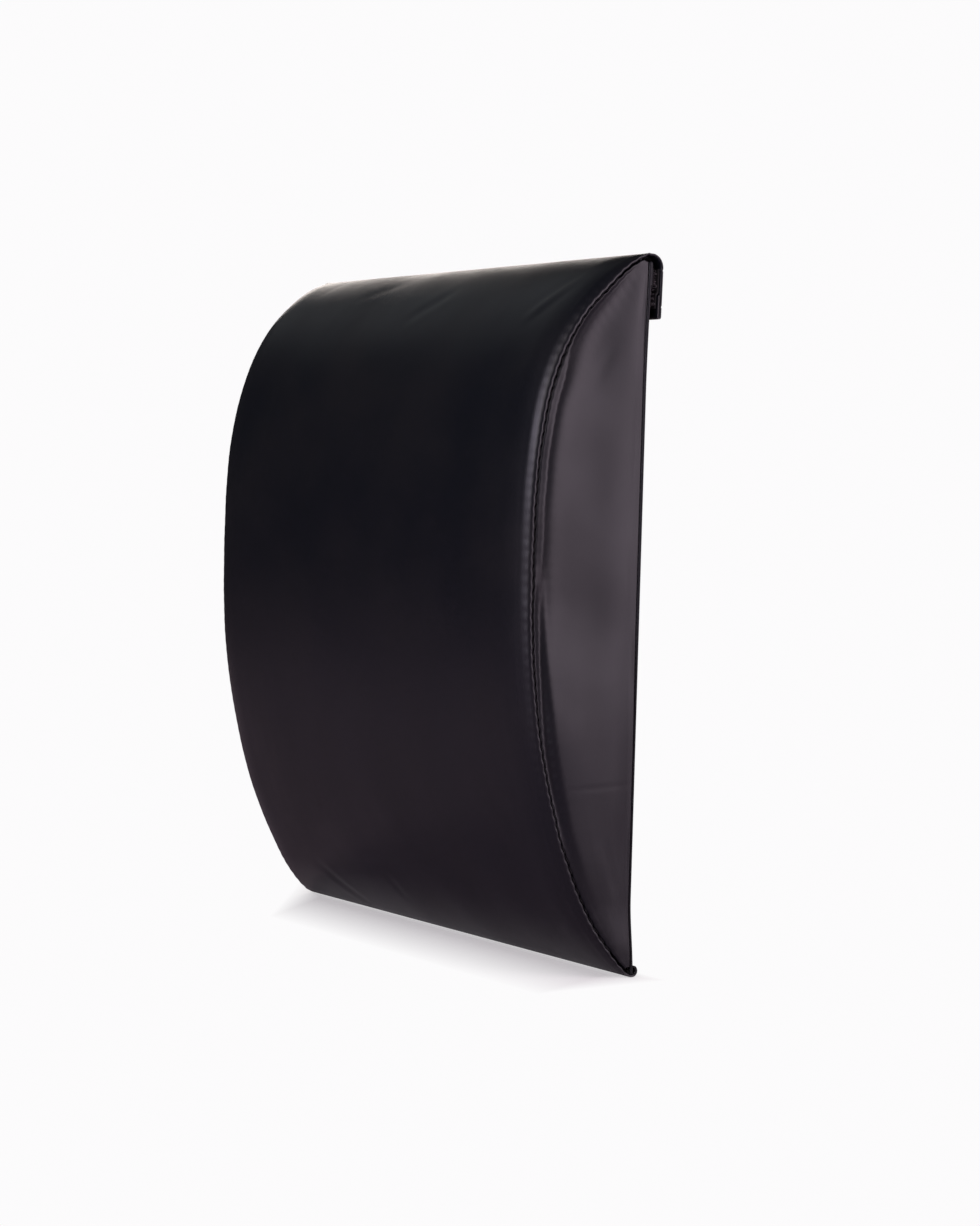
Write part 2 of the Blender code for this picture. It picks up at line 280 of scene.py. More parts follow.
@dataclass(frozen=True)
class Arch:
    """Side view of the mat: the crown seam's height over the back plane."""

    foot_y: float
    head_y: float
    crest_height: float = 0.0692
    peak_share: float = 0.556
    foot_fullness: float = 2.15
    head_fullness: float = 3.25
    end_bluntness: float = 0.76
    end_stand: float = 0.0015
    foot_fade: float = 9
    head_fade: float = 26
    slope_share: float = 1 / 40
    least_step: float = 1e-9
    halvings: int = 40

    @property
    def length(self) -> float:
        """Length of the mat from end to end."""
        return self.head_y - self.foot_y

    @property
    def peak_y(self) -> float:
        """Place of the highest point."""
        return self.foot_y + self.peak_share * self.length

    def height(self, y: Array) -> Array:
        """Height at y: one less the distance from the peak to a power, blunted at the ends.

        Args:
            y: Places along the mat.

        Returns:
            Heights over the back plane.
        """
        toward_foot = y < self.peak_y
        span = np.where(toward_foot, self.peak_y - self.foot_y, self.head_y - self.peak_y)
        fullness = np.where(toward_foot, self.foot_fullness, self.head_fullness)
        share = np.clip(np.abs(y - self.peak_y) / span, 0, 1)
        rise = np.maximum(0, 1 - share ** fullness) ** self.end_bluntness
        return self.end_stand + (self.crest_height - self.end_stand) * rise

    def normal(self, y: Array) -> Array:
        """Unit vectors square to the crest, out of the mat, from a central difference.

        Args:
            y: Places along the mat.

        Returns:
            One (y, z) vector a place.
        """
        nearest_end = np.minimum(y - self.foot_y, self.head_y - y)
        step = np.maximum(nearest_end * self.slope_share, self.least_step)
        rise = self.height(y + step) - self.height(y - step)
        vector = np.stack([-rise, 2 * step], axis=-1)
        vector[y <= self.foot_y + self.least_step] = (-1, 0)
        vector[y >= self.head_y - self.least_step] = (1, 0)
        return unit(vector)

    def at_depth(self, y: Array, depth: float | Array) -> Array:
        """Points (y, z) at some depth under the crest, square to it, one a place."""
        inward = np.broadcast_to(depth, np.shape(y))[..., None]
        return np.stack([y, self.height(y)], axis=-1) - inward * self.normal(y)

    def run(self, y: Array) -> Array:
        """Distance along the crest from the foot to each place."""
        dense = eased(self.foot_y, self.head_y, DENSE_COUNT)
        return np.interp(y, dense, run_along(np.stack([dense, self.height(dense)], axis=1)))

    def padding(self, y: Array) -> Array:
        """Share of the padding left at y: all in the middle and none at both ends."""
        fade = np.where(y < 0, self.foot_fade, self.head_fade)
        return 1 - np.abs(2 * y / self.length) ** fade

    def reach(self, depth: float, height: float, end_y: float) -> float:
        """Place nearest to an end where the line at this depth is still this high.

        Args:
            depth: Depth of the line under the crest.
            height: The height it has to keep.
            end_y: The end to come near.

        Returns:
            The place along the crest.
        """
        inner, outer = self.peak_y, end_y
        for _ in range(self.halvings):
            middle = (inner + outer) / 2
            if self.at_depth(np.array([middle]), depth)[0, 1] > height:
                inner = middle
            else:
                outer = middle
        return inner


@dataclass(frozen=True)
class Padding:
    """Section of the padded top across the mat: a slight crown and rolled shoulders."""

    half_width: float
    crown_rise: float = 0.0001
    shoulder_rise: float = 0.0054
    shoulder_width: float = 0.020
    seam_pull: float = 0.0008
    tuck: float = 0.0010
    tuck_length: float = 0.034

    def roundness(self, x: Array) -> Array:
        """Share of a shoulder's rise at x: 1 inside it, then an ellipse down to 0."""
        past = (np.minimum(np.abs(x), self.half_width) - self.half_width) / self.shoulder_width
        return np.sqrt(1 - np.maximum(0, past + 1) ** 2)

    def lift(self, x: Array) -> Array:
        """Height over the crest at x: an ellipse at each shoulder, plus a low parabola.

        The seams are pulled down under the crest's line, so the lift starts below 0.

        Args:
            x: Places across the mat.

        Returns:
            The lifts.
        """
        across = np.minimum(np.abs(x), self.half_width)
        crown = self.crown_rise * (1 - (across / self.half_width) ** 2)
        return self.shoulder_rise * self.roundness(x) + crown - self.seam_pull

    def places(self, shoulder_count: int, middle_count: int) -> Array:
        """Places across: close together on the shoulders, even between them.

        Args:
            shoulder_count: Steps on each shoulder.
            middle_count: Steps between the shoulders.

        Returns:
            The places from left to right.
        """
        inside = self.half_width - self.shoulder_width
        turn = np.linspace(0, np.pi / 2, shoulder_count + 1)
        shoulder = inside + self.shoulder_width * np.sin(turn)
        middle = np.linspace(-inside, inside, middle_count + 1)[1:-1]
        return np.concatenate([-shoulder[::-1], middle, shoulder])


@dataclass(frozen=True)
class Mat:
    """The whole mat's sizes, read from the frame's own boxes and its hinge."""

    half_width: float
    back_z: float
    flap_drop: float
    arch: Arch
    padding: Padding
    stock: Stock
    tape: Tape
    spread: float = 0.0007
    foot_flare: float = 0.0034
    foot_flare_length: float = 0.040
    head_flare: float = 0.0016
    head_flare_length: float = 0.070

    @classmethod
    def from_frame(cls) -> "Mat":
        """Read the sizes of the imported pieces.

        Returns:
            The mat, with its guessed sizes as they stand in its classes.
        """
        low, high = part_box("top_panel")
        hinge = frame["joints"][0]["pos_m"]
        flap_low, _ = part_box("closure_flap")
        return cls(
            half_width=high.x,
            back_z=hinge[2],
            flap_drop=hinge[2] - flap_low.z,
            arch=Arch(foot_y=low.y, head_y=hinge[1]),
            padding=Padding(half_width=high.x),
            stock=Stock(),
            tape=Tape(),
        )

    def tuck(self, y: Array) -> Array:
        """Extra depth of the crown seam near the head, a squared sine along it."""
        share = 1 + (y - self.arch.head_y) / self.padding.tuck_length
        return self.padding.tuck * np.sin(np.pi * np.clip(share, 0, 1)) ** 2

    def seam_depth(self, y: Array) -> Array:
        """Depth of the crown seam's line under the crest: its pull, tuck and straying."""
        pull = self.padding.seam_pull * self.arch.padding(y)
        return pull + self.tuck(y) + self.stock.stray(self.arch.run(y))

    def flared(self, points: Array) -> Array:
        """Points moved apart across the mat, where its sewn ends lie flat and spread.

        Args:
            points: Points with their coordinates last.

        Returns:
            The same points, wider by the spread and by a flare at each end.
        """
        y, foot, head = points[..., 1], self.arch.foot_y, self.arch.head_y
        wider = (self.spread
                 + self.foot_flare * smooth_step(foot + self.foot_flare_length, foot, y)
                 + self.head_flare * smooth_step(head - self.head_flare_length, head, y))
        moved = points.copy()
        moved[..., 0] *= 1 + wider / self.half_width
        return moved

    @property
    def fold_radius(self) -> float:
        """Radius of the flap's fold at the head end."""
        return self.flap_drop - self.stock.clearance

    @property
    def tape_start(self) -> float:
        """Distance from the fold to the tapes' near edge."""
        return self.flap_drop

    @property
    def tape_end(self) -> float:
        """Distance from the fold to the tapes' far edge."""
        return self.tape_start + self.tape.width

    @property
    def flap_length(self) -> float:
        """Distance from the fold to the flap's free edge."""
        return self.tape_end + self.tape.flap_margin

    @property
    def mouth_hem_end(self) -> float:
        """Distance from the fold to the end of the base panel's hem."""
        return self.tape_start + self.tape.mouth_hem_share * self.tape.width

    @property
    def flap_hem_end(self) -> float:
        """Distance from the fold to the end of the flap's hem."""
        return self.tape_start + self.tape.flap_hem_share * self.tape.width

    @property
    def tape_rows(self) -> Pair:
        """Distances from the fold to the two rows of sewing on each tape."""
        half_selvedge = self.tape.selvedge / 2
        return self.tape_start + half_selvedge, self.tape_end - half_selvedge


# Cloth simulation of the stuffed panels

@dataclass(frozen=True)
class Stuffing:
    """Cloth simulation of a panel that is held at its seams and pressed out by the foam.

    The panel's grid is thinned to cells a few millimetres wide, cut a little larger than
    the place it fills, and blown against its seams. How far it moved is capped, and so is
    how far it sinks, because the foam is there. It is smoothed and handed back to the fine
    grid through cubic B-spline weights.
    """

    cell: float = 0.004
    pressure: float = 4.0
    last_frame: int = 20
    vertex_mass: float = 0.02
    oversize: float = 0.0008
    stiffness: float = 45.0
    bending: float = 0.03
    cap: float = 0.0010
    sink: float = 0.0002
    smoothing: int = 5
    least_count: int = 4

    def thinned(self, places: Array) -> Array:
        """Indexes of the places that stand about one cell apart."""
        count = max(self.least_count, round(float(places[-1] - places[0]) / self.cell))
        return np.unique(np.searchsorted(places, np.linspace(places[0], places[-1], count)))

    def blown(self, grid: Array) -> Array:
        """Run the simulation on a grid of points.

        Args:
            grid: Points by row and column.

        Returns:
            The points after the last frame.
        """
        rows, columns = grid.shape[:2]
        index = np.arange(rows * columns).reshape(rows, columns)
        quads = ring_quads(index)[:, :-1].reshape(-1, 4)
        mesh = bpy.data.meshes.new("stuffed")
        mesh.from_pydata(grid.reshape(-1, 3).tolist(), [], quads.tolist())
        piece = link("stuffed", mesh)
        scene = bpy.context.scene
        edge = np.concatenate([index[0], index[-1], index[1:-1, 0], index[1:-1, -1]])
        seam = piece.vertex_groups.new(name="seam")
        seam.add(edge.tolist(), 1.0, 'REPLACE')
        cloth = piece.modifiers.new("cloth", 'CLOTH')
        settings = cloth.settings
        settings.vertex_group_mass = seam.name
        settings.mass = self.vertex_mass
        settings.use_pressure = True
        settings.uniform_pressure_force = self.pressure
        settings.shrink_min = -self.oversize
        settings.tension_stiffness = self.stiffness
        settings.compression_stiffness = self.stiffness
        settings.bending_stiffness = self.bending
        settings.effector_weights.gravity = 0
        cloth.collision_settings.use_collision = False
        cloth.point_cache.frame_start = 1
        cloth.point_cache.frame_end = self.last_frame
        for frame_number in range(1, self.last_frame + 1):
            scene.frame_set(frame_number)
        moved = piece.evaluated_get(bpy.context.evaluated_depsgraph_get()).data
        points = np.empty(rows * columns * 3)
        moved.vertices.foreach_get("co", points)
        bpy.data.objects.remove(piece)
        bpy.data.meshes.remove(mesh)
        scene.frame_set(1)
        return points.reshape(rows, columns, 3)

    def smoothed(self, values: Array) -> Array:
        """Values averaged with their neighbours along both axes.

        Args:
            values: Values by row and column.

        Returns:
            The averages, of the same shape.
        """
        kernel = np.hanning(self.smoothing + 2)[1:-1]
        kernel /= kernel.sum()
        for axis in (0, 1):
            values = np.apply_along_axis(np.convolve, axis, values, kernel, mode="same")
        return values

    def weights(self, fine: Array, coarse: Array) -> Array:
        """Cubic B-spline weights of the coarse places at the fine ones.

        With u the distance in cells, the weight is (4 - 6u^2 + 3u^3) / 6 below one cell
        and (2 - u)^3 / 6 from one cell to two. It fades out over the outermost cells.

        Args:
            fine: Growing places to read at.
            coarse: Growing places that values are known at.

        Returns:
            One row of weights a fine place.
        """
        last = len(coarse) - 1
        place = np.interp(fine, coarse, np.arange(last + 1))
        u = np.abs(place[:, None] - np.arange(last + 1))
        near = (4 - 6 * u ** 2 + 3 * u ** 3) / 6
        weight = np.where(u < 1, near, np.clip(2 - u, 0, None) ** 3 / 6)
        held = smooth_step(0, 1, place) * smooth_step(last, last - 1, place)
        return weight * held[:, None]

    def lift(self, name: str, grid: Array, rows: Array, columns: Array) -> Array:
        """How far the stuffing moves a fine grid outwards along its own normals.

        Args:
            name: The panel's name, for the log.
            grid: Points by row and column; column cross row points out of the mat.
            rows: Growing places of the rows.
            columns: Growing places of the columns.

        Returns:
            Distances by row and column.
        """
        row_picks, column_picks = self.thinned(rows), self.thinned(columns)
        start = grid[np.ix_(row_picks, column_picks)]
        normal = unit(np.cross(np.gradient(start, axis=1), np.gradient(start, axis=0)))
        moved = ((self.blown(start) - start) * normal).sum(axis=-1)
        LOG.info("%s: stuffing moves it %.5f to %.5f m", name, moved.min(), moved.max())
        capped = np.maximum(self.cap * np.tanh(moved / self.cap), -self.sink)
        capped = self.smoothed(capped)
        return (self.weights(rows, rows[row_picks]) @ capped
                @ self.weights(columns, columns[column_picks]).T)


# Lines carried through the mat's side view

@dataclass(frozen=True)
class Path:
    """A line in the side view with its outward normals and its share of padding."""

    points: Array
    normals: Array
    padding: Array
    run: Array

    @classmethod
    def through(cls, points: Array, padding: Array) -> "Path":
        """Make a path; the normal is the heading turned a quarter to the left.

        Args:
            points: Dense points in order, as (y, z).
            padding: Share of the padding at each point.

        Returns:
            The path, with its run measured along the points.
        """
        apart = np.linalg.norm(np.diff(points, axis=0), axis=1) > SAME_PLACE
        keep = np.concatenate([[True], apart])
        points, padding = points[keep], padding[keep]
        run = run_along(points)
        heading = unit(np.gradient(points, run, axis=0))
        normals = np.stack([-heading[:, 1], heading[:, 0]], axis=1)
        return cls(points, normals, padding, run)

    def at(self, stations: Array) -> "Path":
        """The same line read at other stations along its run.

        Args:
            stations: Distances from its start, in order.

        Returns:
            A path with one point a station.
        """
        points = read_along(stations, self.run, self.points)
        normals = unit(read_along(stations, self.run, self.normals))
        padding = np.interp(stations, self.run, self.padding)
        return Path(points, normals, padding, stations)


# Meshes

def link(name: str, data: ID) -> Object:
    """Make an object and link it to the scene.

    Args:
        name: The object's name.
        data: Its mesh, camera or lamp.

    Returns:
        The object.
    """
    made = bpy.data.objects.new(name, data)
    bpy.context.scene.collection.objects.link(made)
    return made


def ring_quads(index: Array) -> Array:
    """Corner indices of the faces between rings; index has places last and rings before."""
    near, far = index[..., :-1, :], index[..., 1:, :]
    return np.stack([near, np.roll(near, -1, -1), np.roll(far, -1, -1), far], axis=-1)


def put_mesh(name: str, vertices: Array, faces: list[list[int]], kinds: Array,
             corner_uv: Array, materials: list[Material],
             sharp_angle: float = 50) -> Object:
    """Make one object of the given faces.

    Args:
        name: The piece's name.
        vertices: Points, one row each.
        faces: Corner indices of each face.
        kinds: Material index of each face.
        corner_uv: One (u, v) for each corner, in the faces' order.
        materials: The piece's materials.
        sharp_angle: Edges turn sharp past this angle, in degrees.

    Returns:
        The new object, linked to the scene.
    """
    mesh = bpy.data.meshes.new(name)
    mesh.from_pydata(vertices.tolist(), [], faces)
    layer = mesh.uv_layers.new(name="UVMap")
    layer.data.foreach_set("uv", corner_uv.astype(np.float32).ravel())
    for material in materials:
        mesh.materials.append(material)
    mesh.polygons.foreach_set("material_index", kinds.astype(np.int32))
    mesh.shade_smooth()
    mesh.set_sharp_from_angle(angle=math.radians(sharp_angle))
    mesh.validate()
    mesh.update()
    return link(name, mesh)


def inside_out(vertices: Array, quads: Array) -> bool:
    """Whether a closed shape's faces point inwards, from the sign of its volume.

    Args:
        vertices: Points of the shape.
        quads: Corner indices, four a face.

    Returns:
        True if the faces have to be turned round.
    """
    corners = vertices[quads]
    volume = 0.0
    for second, third in ((1, 2), (2, 3)):
        volume += np.einsum("ij,ij->i", corners[:, 0],
                            np.cross(corners[:, second], corners[:, third])).sum()
    return bool(volume < 0)


def ring_solid(name: str, rings: Array, materials: list[Material],
               kinds: Array | None = None, uv: Array | None = None) -> Object:
    """Closed solid of rings carried along a path, with a face over each end.

    Args:
        name: The piece's name.
        rings: Points as (row, place round the ring, coordinate).
        materials: The piece's materials.
        kinds: Material index of each face, by row and place; all 0 if left out.
        uv: (u, v) of each point, by row and place; row and place shares if left out.

    Returns:
        The new object.
    """
    rows, columns, _ = rings.shape
    index = np.arange(rows * columns).reshape(rows, columns)
    quads = ring_quads(index).reshape(-1, 4)
    vertices = rings.reshape(-1, 3)
    first_cap, last_cap = index[0][::-1], index[-1]
    if inside_out(vertices, quads):
        quads = quads[:, ::-1]
        first_cap, last_cap = first_cap[::-1], last_cap[::-1]
    if kinds is None:
        kinds = np.zeros((rows - 1, columns), int)
    if uv is None:
        row_share, column_share = np.meshgrid(np.linspace(0, 1, rows),
                                              np.linspace(0, 1, columns), indexing="ij")
        uv = np.stack([column_share, row_share], axis=-1)
    flat_uv = uv.reshape(-1, 2)
    corner_uv = np.concatenate([flat_uv[quads.ravel()], flat_uv[first_cap], flat_uv[last_cap]])
    cap_kind = kinds.max()
    kinds = np.concatenate([kinds.ravel(), [cap_kind, cap_kind]])
    faces = quads.tolist() + [first_cap.tolist(), last_cap.tolist()]
    return put_mesh(name, vertices, faces, kinds, corner_uv, materials)


def tube_bundle(name: str, centres: Array, firsts: Array, seconds: Array, radius: Array,
                sides: int, materials: list[Material]) -> Object:
    """Many closed tubes in one piece: a circle in each point's own plane.

    Args:
        name: The piece's name.
        centres: Centre lines as (tube, point, coordinate).
        firsts: Unit vectors square to each line, of the same shape.
        seconds: Unit vectors square to both, of the same shape.
        radius: Radius by tube and point.
        sides: Faces round a tube.
        materials: The piece's materials.

    Returns:
        The new object.
    """
    tubes, points, _ = centres.shape
    turn = np.linspace(0, 2 * np.pi, sides, endpoint=False)
    around = (firsts[:, :, None] * np.cos(turn)[:, None]
              + seconds[:, :, None] * np.sin(turn)[:, None])
    vertices = centres[:, :, None] + radius[:, :, None, None] * around
    index = np.arange(tubes * points * sides).reshape(tubes, points, sides)
    quads = ring_quads(index).reshape(-1, 4)
    vertices = vertices.reshape(-1, 3)
    starts, ends = index[:, 0, ::-1], index[:, -1]
    if (np.cross(firsts, seconds) * np.gradient(centres, axis=1)).sum() < 0:
        quads, starts, ends = quads[:, ::-1], starts[:, ::-1], ends[:, ::-1]
    along, round_it = np.meshgrid(np.linspace(0, 1, points), turn / (2 * np.pi), indexing="ij")
    one_uv = np.stack([round_it, along], axis=-1).reshape(-1, 2)
    flat_uv = np.tile(one_uv, (tubes, 1))
    faces = quads.tolist() + starts.tolist() + ends.tolist()
    corners = np.concatenate([quads.ravel(), starts.ravel(), ends.ravel()])
    kinds = np.zeros(len(faces), int)
    return put_mesh(name, vertices, faces, kinds, flat_uv[corners], materials, sharp_angle=70)


# Node groups and materials

# Ends of the ramps that turn a texture into a mask, and how streaks are drawn out along Y
PEBBLE_SPAN = (0.05, 0.75)
FLECK_SPAN = (0.1, 0.9)
PATCH_SPAN = (0.35, 0.65)
STREAK_SPAN = (0.58, 0.72)
STREAK_STRETCH = (1.0, 0.22, 1.0)


class Nodes:
    """Adds nodes to one tree and joins them."""

    def __init__(self, tree: NodeTree) -> None:
        """Work on one tree."""
        self.tree = tree

    def fill(self, node: Node, values: dict) -> None:
        """Set a node's inputs, by name or number, to values or join them to sockets."""
        for key, value in values.items():
            if isinstance(value, NodeSocket):
                self.tree.links.new(value, node.inputs[key])
            else:
                node.inputs[key].default_value = value

    def add(self, kind: str, values: dict | None = None, **settings) -> Node:
        """Add a node.

        Args:
            kind: The node's type name.
            values: Its input sockets by name or number, each a value or another socket.
            settings: Its own properties.

        Returns:
            The node.
        """
        node = self.tree.nodes.new(kind)
        for key, setting in settings.items():
            setattr(node, key, setting)
        self.fill(node, values or {})
        return node

    def math(self, operation: str, *values: object) -> NodeSocket:
        """Result of a Math node on values or sockets."""
        return self.add("ShaderNodeMath", dict(enumerate(values)), operation=operation).outputs[0]

    def spread(self, value: NodeSocket, low: float, high: float,
               to_low: float = 0.0, to_high: float = 1.0) -> NodeSocket:
        """Map a value from the range low to high to another one, held at both ends."""
        places = {0: value, 1: low, 2: high, 3: to_low, 4: to_high}
        return self.add("ShaderNodeMapRange", places).outputs[0]

    def colours(self, share: NodeSocket, first: Triple,
                second: Triple) -> NodeSocket:
        """Mix two colours by a share of the second."""
        mixed = {"Factor": share, "A": (*first, 1), "B": (*second, 1)}
        return self.add("ShaderNodeMix", mixed, data_type='RGBA').outputs["Result"]

    def group(self, tree: NodeTree, **values: float) -> NodeOutputs:
        """Outputs of a shared group, placed with this material's own values for its inputs."""
        named = {key.replace("_", " ").capitalize(): value for key, value in values.items()}
        return self.add("ShaderNodeGroup", named, node_tree=tree).outputs

    def bump(self, height: NodeSocket, strength: float,
             depth: float) -> NodeSocket:
        """Normal that a height raises, at some share of its full depth."""
        raised = {"Height": height, "Strength": strength, "Distance": depth}
        return self.add("ShaderNodeBump", raised).outputs["Normal"]

    def noise(self, place: NodeSocket, **values: object) -> NodeOutputs:
        """Outputs of a Noise texture at a place, with its inputs by name."""
        named = {key.capitalize(): value for key, value in values.items()}
        return self.add("ShaderNodeTexNoise", {"Vector": place, **named}).outputs

    def mix(self, share: NodeSocket, first: Node,
            second: Node) -> Node:
        """Mix two shaders by a share of the second."""
        return self.add("ShaderNodeMixShader",
                        {0: share, 1: first.outputs[0], 2: second.outputs[0]})


def new_group(name: str, inputs: dict[str, float], outputs: list[str]) -> tuple:
    """Start a shader node group on number sockets.

    Args:
        name: The group's name.
        inputs: Its inputs with their usual values.
        outputs: Its outputs.

    Returns:
        The group, its node helper, its inputs' sockets and its output node.
    """
    group = bpy.data.node_groups.new(name, 'ShaderNodeTree')
    for label, usual in inputs.items():
        socket = group.interface.new_socket(label, in_out='INPUT', socket_type='NodeSocketFloat')
        socket.default_value = usual
    for label in outputs:
        group.interface.new_socket(label, in_out='OUTPUT', socket_type='NodeSocketFloat')
    nodes = Nodes(group)
    return group, nodes, nodes.add("NodeGroupInput").outputs, nodes.add("NodeGroupOutput")


def hide_grain_group() -> NodeTree:
    """Pebbled grain: rounded cells with fine pores between them, and a fleck a cell.

    Returns:
        The group.
    """
    group, nodes, given, result = new_group(
        "hide grain", {"Cells per metre": 1300.0, "Unevenness": 0.5, "Warps per metre": 260.0,
                       "Warp": 0.0009, "Pores per metre": 5200.0}, ["Height", "Fleck"])
    place = nodes.add("ShaderNodeTexCoord").outputs["Object"]
    warp = nodes.noise(place, scale=given["Warps per metre"], detail=2.0)
    shift = nodes.add("ShaderNodeVectorMath", {0: warp["Color"], 3: given["Warp"]},
                      operation='SCALE')
    moved = nodes.add("ShaderNodeVectorMath", {0: place, 1: shift.outputs[0]}, operation='ADD')
    cells = nodes.add("ShaderNodeTexVoronoi",
                      {"Vector": moved.outputs[0], "Scale": given["Cells per metre"]},
                      feature='SMOOTH_F1')
    pebble = nodes.spread(cells.outputs["Distance"], *PEBBLE_SPAN, 1.0, 0.0)
    pores = nodes.noise(place, scale=given["Pores per metre"], detail=3.0)
    uneven = nodes.math('MULTIPLY', pores["Fac"], given["Unevenness"])
    nodes.fill(result, {"Height": nodes.math('ADD', pebble, uneven),
                        "Fleck": nodes.spread(pebble, *FLECK_SPAN)})
    return group


def handling_group() -> NodeTree:
    """Marks of handling: broad soft patches, and thin rubbed streaks.

    Returns:
        The group.
    """
    group, nodes, given, result = new_group(
        "handling", {"Patches per metre": 14.0, "Streaks per metre": 60.0}, ["Patch", "Streak"])
    place = nodes.add("ShaderNodeTexCoord").outputs["Object"]
    patches = nodes.noise(place, scale=given["Patches per metre"], detail=3.0, roughness=0.55)
    drawn = nodes.add("ShaderNodeMapping", {"Vector": place, "Scale": STREAK_STRETCH}).outputs[0]
    streaks = nodes.noise(drawn, scale=given["Streaks per metre"], detail=5.0, roughness=0.7,
                          distortion=0.8)
    nodes.fill(result, {"Patch": nodes.spread(patches["Fac"], *PATCH_SPAN),
                        "Streak": nodes.spread(streaks["Fac"], *STREAK_SPAN)})
    return group


def weave_group() -> NodeTree:
    """Plain weave on the piece's own UV, whose unit is a metre: two crossed sets of yarns.

    Returns:
        The group.
    """
    group, nodes, given, result = new_group(
        "weave", {"Yarns per metre": 1600.0, "Fuzz per metre": 3800.0, "Fuzz": 0.5},
        ["Height", "Yarn"])
    place = nodes.add("ShaderNodeUVMap", uv_map="UVMap").outputs["UV"]
    parts = nodes.add("ShaderNodeSeparateXYZ", {0: place}).outputs
    turns = nodes.math('MULTIPLY', given["Yarns per metre"], math.pi)
    warp, weft = [nodes.math('SINE', nodes.math('MULTIPLY', parts[axis], turns))
                  for axis in (0, 1)]
    over = nodes.math('MULTIPLY', warp, weft)
    fuzz = nodes.noise(nodes.add("ShaderNodeTexCoord").outputs["Object"],
                       scale=given["Fuzz per metre"], detail=4.0)
    raised = nodes.math('ADD', nodes.math('ABSOLUTE', over),
                        nodes.math('MULTIPLY', fuzz["Fac"], given["Fuzz"]))
    nodes.fill(result, {"Height": raised, "Yarn": nodes.spread(over, -1.0, 1.0)})
    return group


@dataclass(frozen=True)
class Library:
    """The node groups that several materials share."""

    grain: NodeTree
    handling: NodeTree
    weave: NodeTree

    @classmethod
    def build(cls) -> "Library":
        """Make each group once."""
        return cls(hide_grain_group(), handling_group(), weave_group())


def start_material(name: str) -> tuple[Material, Nodes, Node]:
    """Make a node material.

    Args:
        name: The material's name.

    Returns:
        The material, its node helper and its Principled shader.
    """
    material = bpy.data.materials.new(name)
    material.use_nodes = True
    nodes = Nodes(material.node_tree)
    return material, nodes, material.node_tree.nodes["Principled BSDF"]


@dataclass(frozen=True)
class LeatherFinish:
    """Satin coated leather: fine pebbled grain, soft patches and rubbed streaks."""

    name: str
    deep: Triple = (0.0046, 0.0060, 0.0100)
    worn: Triple = (0.0085, 0.0088, 0.0112)
    smoothest: float = 0.36
    roughest: float = 0.46
    cells: float = 1300.0
    grain_depth: float = 0.00005
    grain_strength: float = 0.22
    streak_share: float = 0.25
    patch_share: float = 0.75
    specular: float = 0.5

    def build(self, library: Library) -> Material:
        """Make the material from the shared groups.

        Args:
            library: The shared groups.

        Returns:
            The material.
        """
        material, nodes, shader = start_material(self.name)
        grain = nodes.group(library.grain, cells_per_metre=self.cells)
        marks = nodes.group(library.handling)
        faded = nodes.math('MULTIPLY_ADD', marks["Streak"], self.streak_share,
                           nodes.math('MULTIPLY', marks["Patch"], self.patch_share))
        nodes.fill(shader, {
            "Base Color": nodes.colours(faded, self.deep, self.worn),
            "Roughness": nodes.spread(faded, 0.0, 1.0, self.smoothest, self.roughest),
            "Normal": nodes.bump(grain["Height"], self.grain_strength, self.grain_depth),
            "Specular IOR Level": self.specular})
        return material


@dataclass(frozen=True)
class ClothFinish:
    """Woven or knitted cloth: crossed yarns on the piece's UV, with a little fuzz."""

    name: str
    dark: Triple
    light: Triple
    roughness: float = 0.85
    yarns: float = 1600.0
    depth: float = 0.00012
    strength: float = 0.6
    sheen: float = 0.15

    def build(self, library: Library) -> Material:
        """Make the material; its colour follows the mean of the yarns and the patches.

        Args:
            library: The shared groups.

        Returns:
            The material.
        """
        material, nodes, shader = start_material(self.name)
        weave = nodes.group(library.weave, yarns_per_metre=self.yarns)
        marks = nodes.group(library.handling)
        share = nodes.math('MULTIPLY', nodes.math('ADD', weave["Yarn"], marks["Patch"]), 0.5)
        nodes.fill(shader, {
            "Base Color": nodes.colours(share, self.dark, self.light),
            "Roughness": self.roughness,
            "Normal": nodes.bump(weave["Height"], self.strength, self.depth),
            "Sheen Weight": self.sheen})
        return material


@dataclass(frozen=True)
class ThreadFinish:
    """Bonded sewing thread: two plies twisted round each other."""

    name: str
    dark: Triple = (0.008, 0.008, 0.009)
    light: Triple = (0.030, 0.030, 0.033)
    roughness: float = 0.5
    twists: float = 9.0
    between_plies: float = 0.2
    between_patches: float = 0.6
    depth: float = 0.0001
    strength: float = 0.5

    def build(self, library: Library) -> Material:
        """Make the material; the plies are slanted waves on the thread's UV.

        Args:
            library: The shared groups.

        Returns:
            The material.
        """
        material, nodes, shader = start_material(self.name)
        place = nodes.add("ShaderNodeUVMap", uv_map="UVMap").outputs["UV"]
        parts = nodes.add("ShaderNodeSeparateXYZ", {0: place}).outputs
        along = nodes.math('MULTIPLY', parts[1], self.twists)
        turn = nodes.math('MULTIPLY', nodes.math('ADD', along, parts[0]), 4 * math.pi)
        ply = nodes.math('SINE', turn)
        patch = nodes.group(library.handling)["Patch"]
        share = nodes.math('MULTIPLY', nodes.spread(ply, -1.0, 1.0, self.between_plies, 1.0),
                           nodes.spread(patch, 0.0, 1.0, self.between_patches, 1.0))
        nodes.fill(shader, {"Base Color": nodes.colours(share, self.dark, self.light),
                            "Roughness": self.roughness,
                            "Normal": nodes.bump(ply, self.strength, self.depth)})
        return material


